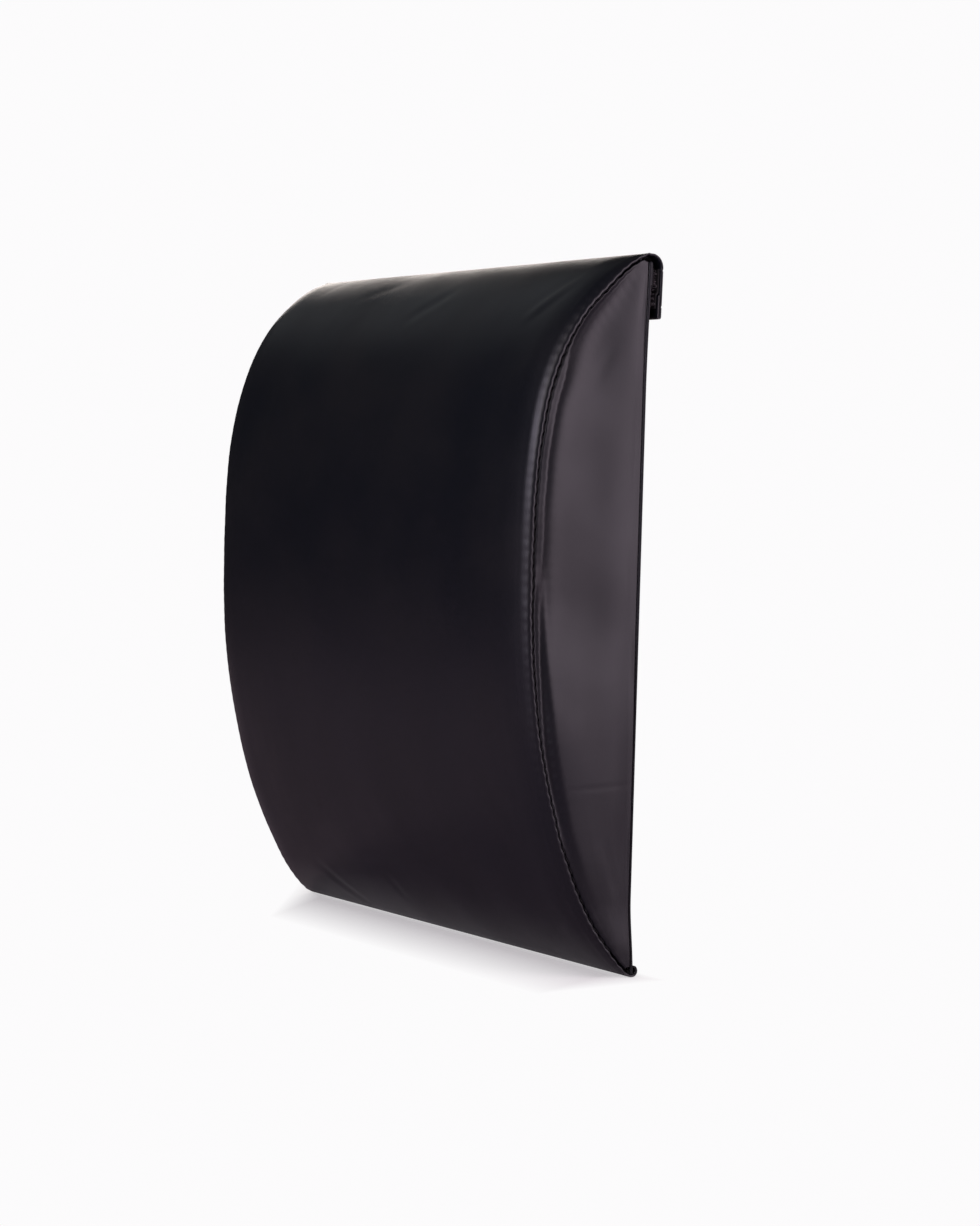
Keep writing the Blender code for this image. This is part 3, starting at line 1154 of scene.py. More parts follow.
@dataclass(frozen=True)
class FoamFinish:
    """Closed-cell foam: small rounded cells with a dull skin."""

    name: str
    dark: Triple = (0.10, 0.10, 0.105)
    light: Triple = (0.20, 0.20, 0.21)
    roughness: float = 0.92
    cells: float = 700.0
    depth: float = 0.0004
    strength: float = 0.8

    def build(self, library: Library) -> Material:
        """Make the material; the grain group's cells stand for the foam's bubbles.

        Args:
            library: The shared groups.

        Returns:
            The material.
        """
        material, nodes, shader = start_material(self.name)
        cells = nodes.group(library.grain, cells_per_metre=self.cells)
        nodes.fill(shader, {"Base Color": nodes.colours(cells["Fleck"], self.light, self.dark),
                            "Roughness": self.roughness,
                            "Normal": nodes.bump(cells["Height"], self.strength, self.depth)})
        return material


@dataclass(frozen=True)
class Finishes:
    """Every material of the mat."""

    cover: Material
    gusset: Material
    back: Material
    lining: Material
    tape: Material
    pile: Material
    hooks: Material
    thread: Material
    foam: Material

    @classmethod
    def build(cls) -> "Finishes":
        """Make each material once.

        Returns:
            The materials.
        """
        library = Library.build()
        looks = dict(
            cover=LeatherFinish("cover leather"),
            gusset=LeatherFinish("gusset leather", smoothest=0.40, roughest=0.50),
            back=LeatherFinish("back leather", smoothest=0.44, roughest=0.56,
                               grain_strength=0.35),
            lining=ClothFinish("knitted leather backing", (0.035, 0.034, 0.034),
                               (0.11, 0.108, 0.106)),
            tape=ClothFinish("woven tape", (0.007, 0.007, 0.008), (0.028, 0.027, 0.029)),
            # The loop pile's pale colours are partly its own grey and partly painted light: they
            # are raised to make up for the shade in the gap between the base panel's edge and the
            # flap.
            pile=ClothFinish("loop pile", (0.100, 0.088, 0.096), (0.420, 0.380, 0.400),
                             sheen=0.4),
            hooks=ClothFinish("hook monofilament", (0.006, 0.006, 0.007),
                              (0.020, 0.020, 0.021), roughness=0.35, sheen=0.0),
            thread=ThreadFinish("sewing thread"),
            foam=FoamFinish("closed cell foam"))
        return cls(**{part: look.build(library) for part, look in looks.items()})


# The pieces

def settle(piece: Object, body: Body, slot: Slot, *nodes: str) -> Object:
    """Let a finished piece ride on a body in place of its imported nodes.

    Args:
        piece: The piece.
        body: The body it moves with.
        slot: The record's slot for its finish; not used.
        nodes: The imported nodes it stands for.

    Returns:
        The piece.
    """
    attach(piece, body.value)
    if nodes:
        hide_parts(*nodes)
    LOG.info("%s: %d faces on %s", piece.name, len(piece.data.polygons), body.value)
    return piece


@dataclass(frozen=True)
class Assembly:
    """What every sub-assembly is made from: the mat's sizes and its materials."""

    mat: Mat
    finishes: Finishes


@dataclass(frozen=True)
class SheetSection:
    """Section of a leather sheet across the mat, as places round one ring.

    The ring runs along the left allowance, round the left lip, over the finished face,
    round the right lip, along the right allowance, and back over the inner face.
    """

    x: Array
    depth: Array
    padded: Array
    finished: Array
    lipped: Array
    leather: Array

    @classmethod
    def build(cls, mat: Mat, outer_x: Array, inner_count: int, lip_count: int,
              allowance: float) -> "SheetSection":
        """Work out the ring's places.

        Args:
            mat: The mat's sizes.
            outer_x: Places across the finished face, from left to right.
            inner_count: How many places the inner face has.
            lip_count: Steps round each lip.
            allowance: Width of the leather turned in along each side.

        Returns:
            The section.
        """
        half, skin, lip = mat.half_width, mat.stock.skin, mat.stock.lip
        turn = np.linspace(0, np.pi / 2, lip_count + 1)[1:]
        lip_x = half - lip * (1 - np.cos(turn))
        lip_depth = skin * np.sin(turn)
        fold_x = np.array([half - (lip + allowance) / 2, half - allowance])
        fold_depth = np.full(2, skin)
        side_x = np.concatenate([lip_x, fold_x])
        side_depth = np.concatenate([lip_depth, fold_depth])
        wall = half - allowance - skin
        inner_x = np.linspace(wall, -wall, inner_count)
        count, side = len(outer_x), len(side_x)
        zeros, ones = np.zeros, np.ones
        near = np.exp(-(half - np.abs(outer_x)) / (2 * skin))
        seam = np.full(side, mat.padding.lift(np.array([half]))[0])
        return cls(
            x=np.concatenate([-side_x[::-1], outer_x, side_x, inner_x]),
            depth=np.concatenate([side_depth[::-1], zeros(count), side_depth,
                                  np.full(inner_count, skin)]),
            padded=np.concatenate([seam, mat.padding.lift(outer_x), seam,
                                   mat.padding.lift(inner_x)]),
            finished=np.concatenate([zeros(side), ones(count), zeros(side), zeros(inner_count)]),
            lipped=np.concatenate([ones(side), near, ones(side), zeros(inner_count)]),
            leather=np.concatenate([ones(2 * side + count), zeros(inner_count)]),
        )

    def rings(self, path: Path, lift: Array, pull: Array, back_z: float) -> Array:
        """Carry the section along a path.

        Args:
            path: The line of the finished face, in the side view.
            lift: Extra height of each point over the path, by row and place.
            pull: How far each point is drawn in towards the mat's middle.
            back_z: Height of the back plane.

        Returns:
            Points as (row, place, coordinate).
        """
        height = path.padding[:, None] * self.padded - self.depth + lift
        x = self.x - np.sign(self.x) * pull
        y = path.points[:, 0, None] + path.normals[:, 0, None] * height
        z = path.points[:, 1, None] + path.normals[:, 1, None] * height + back_z
        return np.stack([np.broadcast_to(x, y.shape), y, z], axis=-1)

    def kinds(self, rows: int) -> Array:
        """Material index of each face: leather outside and backing inside."""
        kind = np.where(self.leather * np.roll(self.leather, -1) > 0, Face.FINISHED.value,
                        Face.BACKING.value)
        return np.broadcast_to(kind, (rows - 1, len(kind)))

    def uv(self, path: Path) -> Array:
        """Metres across and metres along the sheet."""
        across, along = np.broadcast_arrays(self.x, path.run[:, None])
        return np.stack([across, along], axis=-1)


@dataclass(frozen=True)
class CoverPanel(Assembly):
    """Top panel and closure flap, cut from one piece of leather.

    It is rolled at the foot, padded over the arch, and folds behind the head as the flap.
    """

    row_spacing: float = 0.0010
    fine_spacing: float = 0.0005
    furrow_spacing: float = 0.00015
    furrow_reach: float = 0.0012
    furrow_depth: float = 0.0004
    furrow_width: float = 0.0005
    roll_slack: float = 0.0008
    pucker: float = 0.00007
    pucker_reach: float = 0.0022
    ridge: float = 0.00015
    ridge_place: float = 0.0042
    ridge_width: float = 0.0009
    sway: float = 0.00016
    sway_length: float = 0.060
    held_foot: float = 0.006
    held_head: float = 0.003
    held_side: float = 0.0045
    blend_above: float = 0.004
    blend_below: float = 0.003
    blend_lean: float = 0.0002
    shoulder_count: int = 16
    middle_count: int = 90
    inner_count: int = 10
    lip_count: int = 4
    roll_count: int = 160
    wall_count: int = 40
    fold_count: int = 200
    under_count: int = 300
    hem_count: int = 80
    station_digits: int = 7
    fill_in: Pair = (0.0, 0.2)
    calm_foot: float = 0.010
    calm_head: float = 0.006
    pucker_mean: float = 0.7
    pucker_swing: float = 0.5
    pucker_length: float = 0.021
    stitch_mean: float = 0.75
    stitch_swing: float = 0.25
    lip_share: float = 0.6
    creases: tuple[Crease, ...] = (
        Crease((0.004, 0.153), (0.026, 0.165), 0.0050, 0.00034),
        Crease((-0.068, 0.167), (-0.038, 0.174), 0.0042, 0.00020),
        Crease((-0.122, 0.172), (-0.114, 0.180), 0.0042, 0.00012),
        Crease((-0.102, -0.160), (-0.079, -0.177), 0.0048, 0.00045),
        Crease((-0.026, -0.155), (-0.021, -0.166), 0.0040, 0.00024),
        Crease((-0.106, -0.156), (-0.010, -0.145), 0.0075, 0.00026),
        Crease((0.118, 0.150), (0.136, 0.166), 0.0042, -0.00045),
        Crease((0.118, -0.166), (0.144, -0.150), 0.0052, 0.00030),
    )

    def line(self) -> tuple[Path, dict[str, float]]:
        """Line of the finished face from the foot roll to the end of the flap's hem.

        Returns:
            The dense path, and the runs at which its stretches begin.
        """
        mat, arch, stock = self.mat, self.mat.arch, self.mat.stock
        bore = stock.roll_groove + self.roll_slack
        radius = bore + stock.leather
        roll_end = 2 * math.pi - math.asin(stock.roll_groove / bore)
        y = eased(arch.foot_y, arch.head_y, DENSE_COUNT)
        fold_centre = (arch.head_y - mat.fold_radius, -stock.clearance)
        free_edge = arch.head_y - mat.flap_length
        hem_centre = (free_edge + stock.leather, -mat.flap_drop + stock.leather)
        leaf_z = -mat.flap_drop + 2 * stock.leather
        parts = {
            "roll": arc((arch.foot_y + radius, 0.0), radius, roll_end, math.pi, self.roll_count),
            "crest": np.stack([y, arch.height(y)], axis=1),
            "wall": straight((arch.head_y, arch.end_stand), (arch.head_y, -stock.clearance),
                             self.wall_count),
            "fold": arc(fold_centre, mat.fold_radius, 0.0, -math.pi / 2, self.fold_count),
            "under": straight((fold_centre[0], -mat.flap_drop),
                              (free_edge + stock.leather, -mat.flap_drop), self.under_count),
            "hem": arc(hem_centre, stock.leather, -math.pi / 2, -3 * math.pi / 2,
                       self.hem_count),
            "leaf": straight((hem_centre[0], leaf_z), (arch.head_y - mat.flap_hem_end, leaf_z),
                             self.hem_count)}
        points = np.concatenate(list(parts.values()))
        padding = np.concatenate([arch.padding(part[:, 0]) if name == "crest"
                                  else np.zeros(len(part)) for name, part in parts.items()])
        runs = run_along(points)
        firsts = np.cumsum([0] + [len(part) for part in parts.values()])
        starts = {name: float(runs[first]) for name, first in zip(parts, firsts)}
        starts["end"] = float(runs[-1])
        return Path.through(points, padding), starts

    def furrows(self, starts: dict[str, float]) -> Array:
        """Runs of the two rows of sewing on the flap."""
        flat = starts["under"] - self.mat.fold_radius
        return flat + np.array(self.mat.tape_rows)

    def stations(self, starts: dict[str, float]) -> Array:
        """Where the rows lie: even on the arch, finer on the folds and the furrows.

        Args:
            starts: The runs at which the stretches begin.

        Returns:
            The stations in order.
        """
        fine, plain = self.fine_spacing, self.row_spacing
        stretches = (("roll", "crest", fine), ("crest", "wall", plain), ("wall", "under", fine),
                     ("under", "hem", plain), ("hem", "leaf", fine), ("leaf", "end", plain))
        furrow = np.arange(-self.furrow_reach, self.furrow_reach, self.furrow_spacing)
        parts = [place + furrow for place in self.furrows(starts)]
        for first, last, spacing in stretches:
            count = math.ceil((starts[last] - starts[first]) / spacing) + 1
            parts.append(np.linspace(starts[first], starts[last], count))
        return np.unique(np.round(np.concatenate(parts), self.station_digits))

    def relief(self, path: Path, section: SheetSection, starts: dict[str, float]) -> Array:
        """Height of the finished face's own relief over its smooth form.

        It is the sum of broad waves, creases, stitch puckers along both seams, and the
        furrows that the two rows of sewing draw into the flap.

        Args:
            path: The rows.
            section: The places round each ring.
            starts: The runs at which the stretches begin.

        Returns:
            Heights by row and place.
        """
        half = self.mat.half_width
        x, y = np.broadcast_arrays(section.x, path.points[:, :1])
        crest, wall = starts["crest"], starts["wall"]
        on_arch = (smooth_step(crest, crest + self.calm_foot, path.run)
                   * smooth_step(wall, wall - self.calm_head, path.run))[:, None]
        swell = self.sway * waves(x, y, self.sway_length, seed=3)
        folds = sum(crease.relief(x, y) for crease in self.creases)
        in_from_edge = half - np.abs(x)
        off_ridge = (in_from_edge - self.ridge_place) / self.ridge_width
        ridge = self.ridge * np.exp(-off_ridge ** 2)
        run = path.run[:, None] - crest
        uneven = waves(np.zeros_like(x), run + np.zeros_like(x), self.pucker_length, seed=5)
        strength = self.pucker_mean + self.pucker_swing * uneven
        puckers = -self.pucker * self.mat.stock.beat(run) * strength
        puckers = puckers * np.exp(-in_from_edge / self.pucker_reach)
        stray = -self.mat.stock.stray(run) * section.lipped
        lift = on_arch * (swell + folds + ridge + puckers)
        for place in self.furrows(starts):
            off = (path.run[:, None] - place) / self.furrow_width
            beat = np.cos(2 * np.pi * x / self.mat.stock.tape_stitch_pitch)
            stitch = self.stitch_mean + self.stitch_swing * beat
            lift = lift - self.furrow_depth * np.exp(-off ** 2) * stitch
        lift = lift * np.maximum(section.finished, self.lip_share * section.lipped)
        return lift + stray * (path.padding > 0)[:, None]

    def stuffed(self, rings: Array, path: Path, section: SheetSection,
                starts: dict[str, float]) -> Array:
        """Lift of the arched face by the foam under it, from the cloth simulation.

        Args:
            rings: Points of the sheet before it.
            path: The rows.
            section: The places round each ring.
            starts: The runs at which the stretches begin.

        Returns:
            Heights by row and place.
        """
        free = ((path.run > starts["crest"] + self.held_foot)
                & (path.run < starts["wall"] - self.held_head))
        wide = (section.finished > 0) & (np.abs(section.x) < self.mat.half_width - self.held_side)
        lift = np.zeros(rings.shape[:2])
        lift[np.ix_(free, wide)] = Stuffing().lift("top_cover", rings[np.ix_(free, wide)],
                                                   path.run[free], section.x[wide])
        return lift

    def build(self) -> Object:
        """Make the piece, in place of the imported top panel and closure flap.

        Returns:
            The piece.
        """
        dense, starts = self.line()
        path = dense.at(self.stations(starts))
        outer_x = self.mat.padding.places(self.shoulder_count, self.middle_count)
        section = SheetSection.build(self.mat, outer_x, self.inner_count, self.lip_count,
                                     self.mat.stock.allowance)
        lift = self.relief(path, section, starts)
        beat = self.mat.stock.beat(path.run - starts["crest"] + self.mat.stock.stitch_pitch / 4)
        on_arch = smooth_step(*self.fill_in, path.padding)
        pull = self.pucker * (on_arch * (1 + beat))[:, None] * section.lipped
        tuck = self.mat.tuck(path.points[:, 0]) * (path.padding > 0)
        lift = lift - tuck[:, None] * (1 - self.mat.padding.roundness(section.x))
        rings = section.rings(path, lift, pull, self.mat.back_z)
        lift = lift + self.stuffed(rings, path, section, starts)
        rings = self.mat.flared(section.rings(path, lift, pull, self.mat.back_z))
        kinds = section.kinds(len(rings)).copy()
        cut_edge = (section.finished == 0) & (section.leather > 0)
        kinds[np.ix_(path.run[:-1] >= starts["leaf"], cut_edge)] = Face.BACKING.value
        piece = ring_solid("top_cover", rings, [self.finishes.cover, self.finishes.lining],
                           kinds, section.uv(path))
        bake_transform(piece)
        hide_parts("top_panel", "closure_flap")
        LOG.info("%s: %d faces", piece.name, len(piece.data.polygons))
        return piece


@dataclass(frozen=True)
class Gusset(Assembly):
    """One crescent side of the cover, with the band over its seam allowance."""

    side: Side
    column_spacing: float = 0.0009
    tip: float = 0.0006
    ridge: float = 0.0006
    ridge_place: float = 0.0044
    recess: float = 0.0036
    head_recess: float = 0.0026
    head_spread: float = 0.6
    head_near: Pair = (0.098, 0.142)
    head_far: Pair = (0.184, 0.166)
    fall_width: float = 0.0048
    fall_start: float = 0.0010
    pillow: float = 0.0020
    pillow_width: float = 0.0033
    pillow_span: Pair = (0.012, -0.064)
    trough: float = 0.0026
    trough_place: float = 0.0040
    trough_near: float = 0.0020
    trough_drift: Pair = (-0.020, -0.080)
    trough_width: float = 0.0028
    trough_head: Pair = (0.034, 0.000)
    trough_foot: Pair = (-0.160, -0.070)
    held_place: int = 6
    give: float = 0.0004
    sunk_reach: float = 0.80
    sunk_share: float = 0.85
    rise_reach: float = 0.016
    rise_share: float = 0.5
    room_height: float = 0.020
    ridge_foot: Pair = (-0.070, 0.020)
    ridge_head: Pair = (0.146, 0.114)
    pucker: float = 0.00006
    sway: float = 0.00014
    sway_length: float = 0.045
    seed: int = 11
    pucker_reach: float = 0.0025
    gather_reach: float = 0.002
    calm_crown: float = 0.004
    calm_base: float = 0.003
    meet: float = 0.9
    lip_follow: float = 0.2
    inner_span: Pair = (0.97, 0.03)
    seam_count: int = 900
    share_count: int = 24
    body_count: int = 56
    inner_count: int = 10
    lip_count: int = 4
    creases: tuple[Crease, ...] = (
        Crease((-0.0860, 0.004), (-0.0872, 0.040), 0.0022, 0.00006),
        Crease((0.118, 0.030), (0.136, 0.020), 0.0045, 0.00009),
        Crease((-0.140, 0.012), (-0.118, 0.018), 0.0040, 0.00018),
    )

    def crown_places(self) -> Array:
        """Places along the crest of the gusset's columns, evenly spaced on its seam.

        Returns:
            The places, from the foot to the head.
        """
        arch, stock = self.mat.arch, self.mat.stock
        depth = stock.seam_drop + stock.skin
        foot = arch.reach(depth, depth + self.tip, arch.foot_y)
        head = arch.reach(depth, depth + self.tip, arch.head_y)
        dense = eased(foot, head, DENSE_COUNT)
        run = run_along(arch.at_depth(dense, depth))
        count = math.ceil(run[-1] / self.column_spacing)
        return np.interp(np.linspace(0, run[-1], count), run, dense)

    def off_crown(self, y: Array, z: Array) -> Array:
        """Distance of points from the crown seam, to the nearest of many places on it.

        Args:
            y: Places along the mat.
            z: Heights over the back plane, of the same shape.

        Returns:
            The distances.
        """
        arch = self.mat.arch
        places = eased(arch.foot_y + self.tip, arch.head_y - self.tip, self.seam_count)
        seam = arch.at_depth(places, self.mat.stock.seam_drop + self.mat.seam_depth(places))
        points = np.stack([y.ravel(), z.ravel()], axis=1)
        found = np.empty(len(points))
        for part in np.array_split(np.arange(len(points)), self.share_count):
            gaps = points[part, None] - seam[None]
            found[part] = np.sqrt((gaps ** 2).sum(axis=2).min(axis=1))
        return found.reshape(y.shape)

    def bulge(self, y: Array, z: Array, run: Array) -> Array:
        """How far the side stands out: a flat ridge by the seam, then a fall into the side.

        The ridge is widest at the mat's middle and fades out towards both ends. From its
        edge the side falls as 1 - exp(-distance / width), with a softened start, deepest
        by the head, and comes back slowly towards the base. From the middle to the foot a
        trough follows the seam instead, nearer to it further down, and the side rises past
        it like a pillow. Added to them are broad waves, creases, and puckers at both seams.

        Args:
            y: Places along the mat, by column and place.
            z: Heights over the back plane.
            run: Run of each column along the crest.

        Returns:
            Distances out of the side plane.
        """
        arch, stock = self.mat.arch, self.mat.stock
        from_crown = self.off_crown(y, z)
        from_base = np.maximum(0, z - stock.base_drop)
        room = smooth_step(0.0, self.room_height, arch.height(y))
        ridged = smooth_step(*self.ridge_foot, y) * smooth_step(*self.ridge_head, y)
        ridge = self.ridge * ridged * smooth_step(stock.lip, self.ridge_place, from_crown)
        past = from_crown - self.ridge_place * ridged
        past = (past + np.hypot(past, self.fall_start)) / 2
        by_head = smooth_step(*self.head_near, y) * smooth_step(*self.head_far, y)
        fall = 1 - np.exp(-past / (self.fall_width * (1 + self.head_spread * by_head)))
        sunk = ridge * (1 - fall) - (self.recess + self.head_recess * by_head) * fall
        rise = self.pillow * (1 - np.exp(-from_crown / self.pillow_width))
        filled = smooth_step(*self.pillow_span, y)
        nearer = (self.trough_place - self.trough_near) * smooth_step(*self.trough_drift, y)
        off_trough = (from_crown - self.trough_place + nearer) / self.trough_width
        deep = self.trough * smooth_step(*self.trough_head, y) * smooth_step(*self.trough_foot, y)
        freed = smooth_step(0, self.sunk_reach, from_base / arch.height(y))
        sunk = sunk * (1 - self.sunk_share * (1 - freed))
        rise = rise * (1 - self.rise_share * (1 - smooth_step(0, self.rise_reach, from_base)))
        level = sunk + (rise - sunk) * filled - deep * np.exp(-off_trough ** 2)
        swell = self.sway * waves(y, z, self.sway_length, seed=self.seed + self.side.value)
        folds = sum(crease.relief(y, z) for crease in self.creases)
        puckers = stock.beat(run)[:, None] * np.exp(-from_crown / self.pucker_reach)
        gathers = stock.beat(2 * run)[:, None] * np.exp(-from_base / self.gather_reach)
        inside = (smooth_step(0, self.calm_crown, from_crown)
                  * smooth_step(0, self.calm_base, from_base))
        shape = room * (level + inside * (swell + folds))
        return shape - self.pucker * (puckers + gathers / 2)

    def build(self) -> Object:
        """Make the piece: columns from the crown seam to the base seam, as closed rings.

        Returns:
            The piece.
        """
        mat, arch, stock = self.mat, self.mat.arch, self.mat.stock
        crown = self.crown_places()
        drop, skin, lip, half = stock.seam_drop, stock.skin, stock.lip, mat.half_width
        depth = drop + mat.seam_depth(crown)
        top_edge = arch.at_depth(crown, depth + skin)
        run = arch.run(crown)
        low_y = np.interp(run, [run[0], run[-1]], [top_edge[0, 0], top_edge[-1, 0]])
        low_edge = np.stack([low_y, np.full(len(run), stock.base_drop + skin)], axis=1)
        turn = np.linspace(np.pi / 2, 0, self.lip_count + 1)
        fold_x = np.array([half - stock.allowance, half - (stock.allowance + lip) / 2])
        side_x = np.concatenate([fold_x, half - lip * (1 - np.cos(turn[:-1]))])
        side_depth = np.concatenate([np.zeros(2), skin * (1 - np.sin(turn[:-1]))])
        raised = np.concatenate([[-self.meet * stock.seam_gap], side_depth[1:]])
        top = np.stack([arch.at_depth(crown, depth + under) for under in raised], axis=1)
        bottom_z = (stock.base_drop + side_depth)[::-1]
        bottom = np.stack(np.broadcast_arrays(low_y[:, None], bottom_z), axis=-1)
        share = eased(0, 1, self.body_count)[None, :, None]
        body = top_edge[:, None] * (1 - share) + low_edge[:, None] * share
        inner_share = np.linspace(*self.inner_span, self.inner_count)[None, :, None]
        inner = top_edge[:, None] * (1 - inner_share) + low_edge[:, None] * inner_share
        outline = np.concatenate([top, body, bottom, inner], axis=1)
        y, z = outline[..., 0], outline[..., 1]
        out = self.bulge(y, z, run)
        name = f"{self.side.label}_side"
        free = slice(len(side_x) + self.held_place,
                     len(side_x) + self.body_count - self.held_place)
        grid = np.stack([half + out, y, z], axis=-1)[:, free]
        out[:, free] += Stuffing(cap=self.give).lift(name, grid, run,
                                                     run_along(grid[len(run) // 2]))
        counts = (len(side_x), self.body_count, len(side_x), self.inner_count)
        plain_x = np.concatenate([side_x, np.full(counts[1], half), side_x[::-1],
                                  np.full(counts[3], half - skin)])
        lip_follows = np.linspace(self.lip_follow, 1, self.lip_count)
        follows = np.concatenate([np.zeros(2), lip_follows, np.ones(counts[1]),
                                  lip_follows[::-1], np.zeros(2), np.ones(counts[3])])
        x = self.side.value * (plain_x + follows * out)
        rings = mat.flared(np.stack([x, y, z + mat.back_z], axis=-1))
        kind = np.full(sum(counts), Face.FINISHED.value)
        kind[-counts[3] - 1:] = Face.BACKING.value
        uv = np.stack([z, np.broadcast_to(run[:, None], z.shape)], axis=-1)
        piece = ring_solid(name, rings, [self.finishes.gusset, self.finishes.lining],
                           np.broadcast_to(kind, (len(run) - 1, len(kind))), uv)
        settle(piece, Body.COVER, Slot.LEATHER, f"{self.side.label}_gusset")
        return piece


@dataclass(frozen=True)
class BasePanel(Assembly):
    """Flat back of the cover, with the mouth's edge folded out into a hem."""

    row_spacing: float = 0.0030
    fine_spacing: float = 0.0003
    mouth_inset: float = 0.004
    crack: float = 0.00005
    sway: float = 0.00018
    sway_length: float = 0.060
    middle_count: int = 70
    inner_count: int = 12
    lip_count: int = 3
    allowance: float = 0.0020
    held: float = 0.005
    calm_edge: float = 0.012
    calm_hem: Pair = (0.012, 0.030)
    sunk_from: float = -0.2
    leaf_count: int = 60
    turn_count: int = 40
    main_count: int = 400
    leaf_rows: int = 14
    turn_rows: int = 9
    station_digits: int = 7

    def build(self) -> Object:
        """Make the piece from the end of the hem's leaf to the foot.

        Returns:
            The piece.
        """
        mat, arch, stock = self.mat, self.mat.arch, self.mat.stock
        turn_y = arch.head_y - self.mouth_inset - stock.leather
        hem_y = arch.head_y - mat.mouth_hem_end
        foot_y = arch.foot_y + stock.lining
        leaf = straight((hem_y, -self.crack), (turn_y, -self.crack), self.leaf_count)
        turn = arc((turn_y, 0.0), self.crack, -math.pi / 2, math.pi / 2, self.turn_count)
        main = straight((turn_y, self.crack), (foot_y, self.crack), self.main_count)
        points = np.concatenate([leaf, turn, main])
        dense = Path.through(points, np.zeros(len(points)))
        bend = turn_y - hem_y
        bent = bend + math.pi * self.crack
        stations = np.concatenate([
            np.linspace(0, bend, self.leaf_rows), np.linspace(bend, bent, self.turn_rows),
            np.linspace(bent, dense.run[-1], math.ceil(dense.run[-1] / self.row_spacing))])
        path = dense.at(np.unique(np.round(stations, self.station_digits)))
        outer_x = np.linspace(-mat.half_width, mat.half_width, self.middle_count)
        section = SheetSection.build(mat, outer_x, self.inner_count, self.lip_count,
                                     self.allowance)
        x, y = np.broadcast_arrays(section.x, path.points[:, :1])
        calm = smooth_step(mat.half_width, mat.half_width - self.calm_edge, np.abs(x))
        calm = calm * smooth_step(*(hem_y - away for away in self.calm_hem), y)
        sunk = smooth_step(self.sunk_from, 1.0, waves(x, y, self.sway_length, seed=23))
        lift = -self.sway * sunk * calm * section.finished
        still = np.zeros_like(lift)
        rings = section.rings(path, lift, still, mat.back_z)
        low_y, high_y = foot_y + self.held, arch.head_y - mat.tape_end - self.held
        free = (path.points[:, 0] > low_y) & (path.points[:, 0] < high_y) & (path.run > bend)
        wide = (section.finished > 0) & (np.abs(section.x) < mat.half_width - self.held)
        lift[np.ix_(free, wide)] += Stuffing().lift("back_panel", rings[np.ix_(free, wide)],
                                                    path.run[free], section.x[wide])
        rings = mat.flared(section.rings(path, lift, still, mat.back_z))
        piece = ring_solid("back_panel", rings, [self.finishes.back, self.finishes.lining],
                           section.kinds(len(rings)), section.uv(path))
        settle(piece, Body.COVER, Slot.LEATHER, "base_panel")
        return piece


@dataclass(frozen=True)
class FoamCore(Assembly):
    """The firm foam crescent that fills the cover."""

    tip: float = 0.003
    side_gap: float = 0.0031
    corner: float = 0.011
    corner_drop: float = 0.0080
    row_count: int = 110
    across_count: int = 60
    cut_wave: float = 0.0003
    cut_wave_length: float = 0.03

    def build(self) -> Object:
        """Make the piece as rings across the mat, eased along it.

        Returns:
            The piece.
        """
        mat, arch, stock = self.mat, self.mat.arch, self.mat.stock
        depth = stock.lining
        foot = arch.reach(depth, depth + self.tip, arch.foot_y)
        head = arch.reach(depth, depth + self.tip, arch.head_y)
        places = eased(foot, head, self.row_count)
        line, normal = arch.at_depth(places, depth), arch.normal(places)
        half = mat.half_width - self.side_gap
        across = half * np.sin(np.linspace(-np.pi / 2, np.pi / 2, self.across_count))
        drop = self.corner_drop * smooth_step(half - self.corner, half, np.abs(across))
        room = np.clip((line[:, 1] - depth) / (4 * self.corner_drop), 0, 1)[:, None]
        wave = self.cut_wave * np.abs(waves(across[None], places[:, None], self.cut_wave_length,
                                             seed=31))
        calm = smooth_step(half, half - self.corner, np.abs(across))
        padding = arch.padding(places)[:, None]
        lift = padding * mat.padding.lift(across + np.sign(across) * depth)
        lift = lift - room * drop - wave * calm * padding
        top_y = line[:, 0, None] + normal[:, 0, None] * lift
        top_z = line[:, 1, None] + normal[:, 1, None] * lift
        top = np.stack(np.broadcast_arrays(across, top_y, top_z), axis=-1)
        low = depth + room * drop
        bottom = np.stack(np.broadcast_arrays(across, line[:, :1], low), axis=-1)
        rings = np.concatenate([top, bottom[:, ::-1]], axis=1)
        rings[..., 2] += mat.back_z
        piece = ring_solid("foam_block", rings, [self.finishes.foam])
        settle(piece, Body.COVER, Slot.FOAM, "foam_core")
        return piece


@dataclass(frozen=True)
class StitchRow:
    """A row of lock stitches: each is a short thread whose ends dive into the leather."""

    name: str
    node: str
    body: Body
    pitch: float
    radius: float
    length_share: float = 0.78
    dive: float = 0.0005
    dive_power: int = 3
    taper: float = 0.25
    taper_power: int = 6
    point_count: int = 9
    sides: int = 6

    def build(self, line: Array, outward: Array, thread: Material,
              run: Array | None = None) -> Object:
        """Make the row along a line.

        Args:
            line: Dense points of the row, one row each.
            outward: Unit vector out of the leather at each of them.
            thread: The thread's material.
            run: What the stitches are counted along; the line's own length if left out.

        Returns:
            The piece.
        """
        if run is None:
            run = run_along(line)
        step = self.pitch
        middle = (np.arange(math.ceil(run[0] / step), math.floor(run[-1] / step)) + 0.5) * step
        share = np.linspace(-0.5, 0.5, self.point_count)
        place = middle[:, None] + share * step * self.length_share

        out = unit(read_along(place, run, outward))
        ends = np.abs(2 * share)
        height = -self.dive * ends ** self.dive_power
        centres = read_along(place, run, line) + out * height[None, :, None]
        heading = unit(np.gradient(centres, axis=1))
        across = unit(np.cross(heading, out))
        second = np.cross(heading, across)
        radius = self.radius * (1 - self.taper * ends ** self.taper_power)
        radius = np.broadcast_to(radius, centres.shape[:2])
        piece = tube_bundle(self.name, centres, across, second, radius, self.sides,
                            [thread])
        return settle(piece, self.body, Slot.THREAD, self.node)


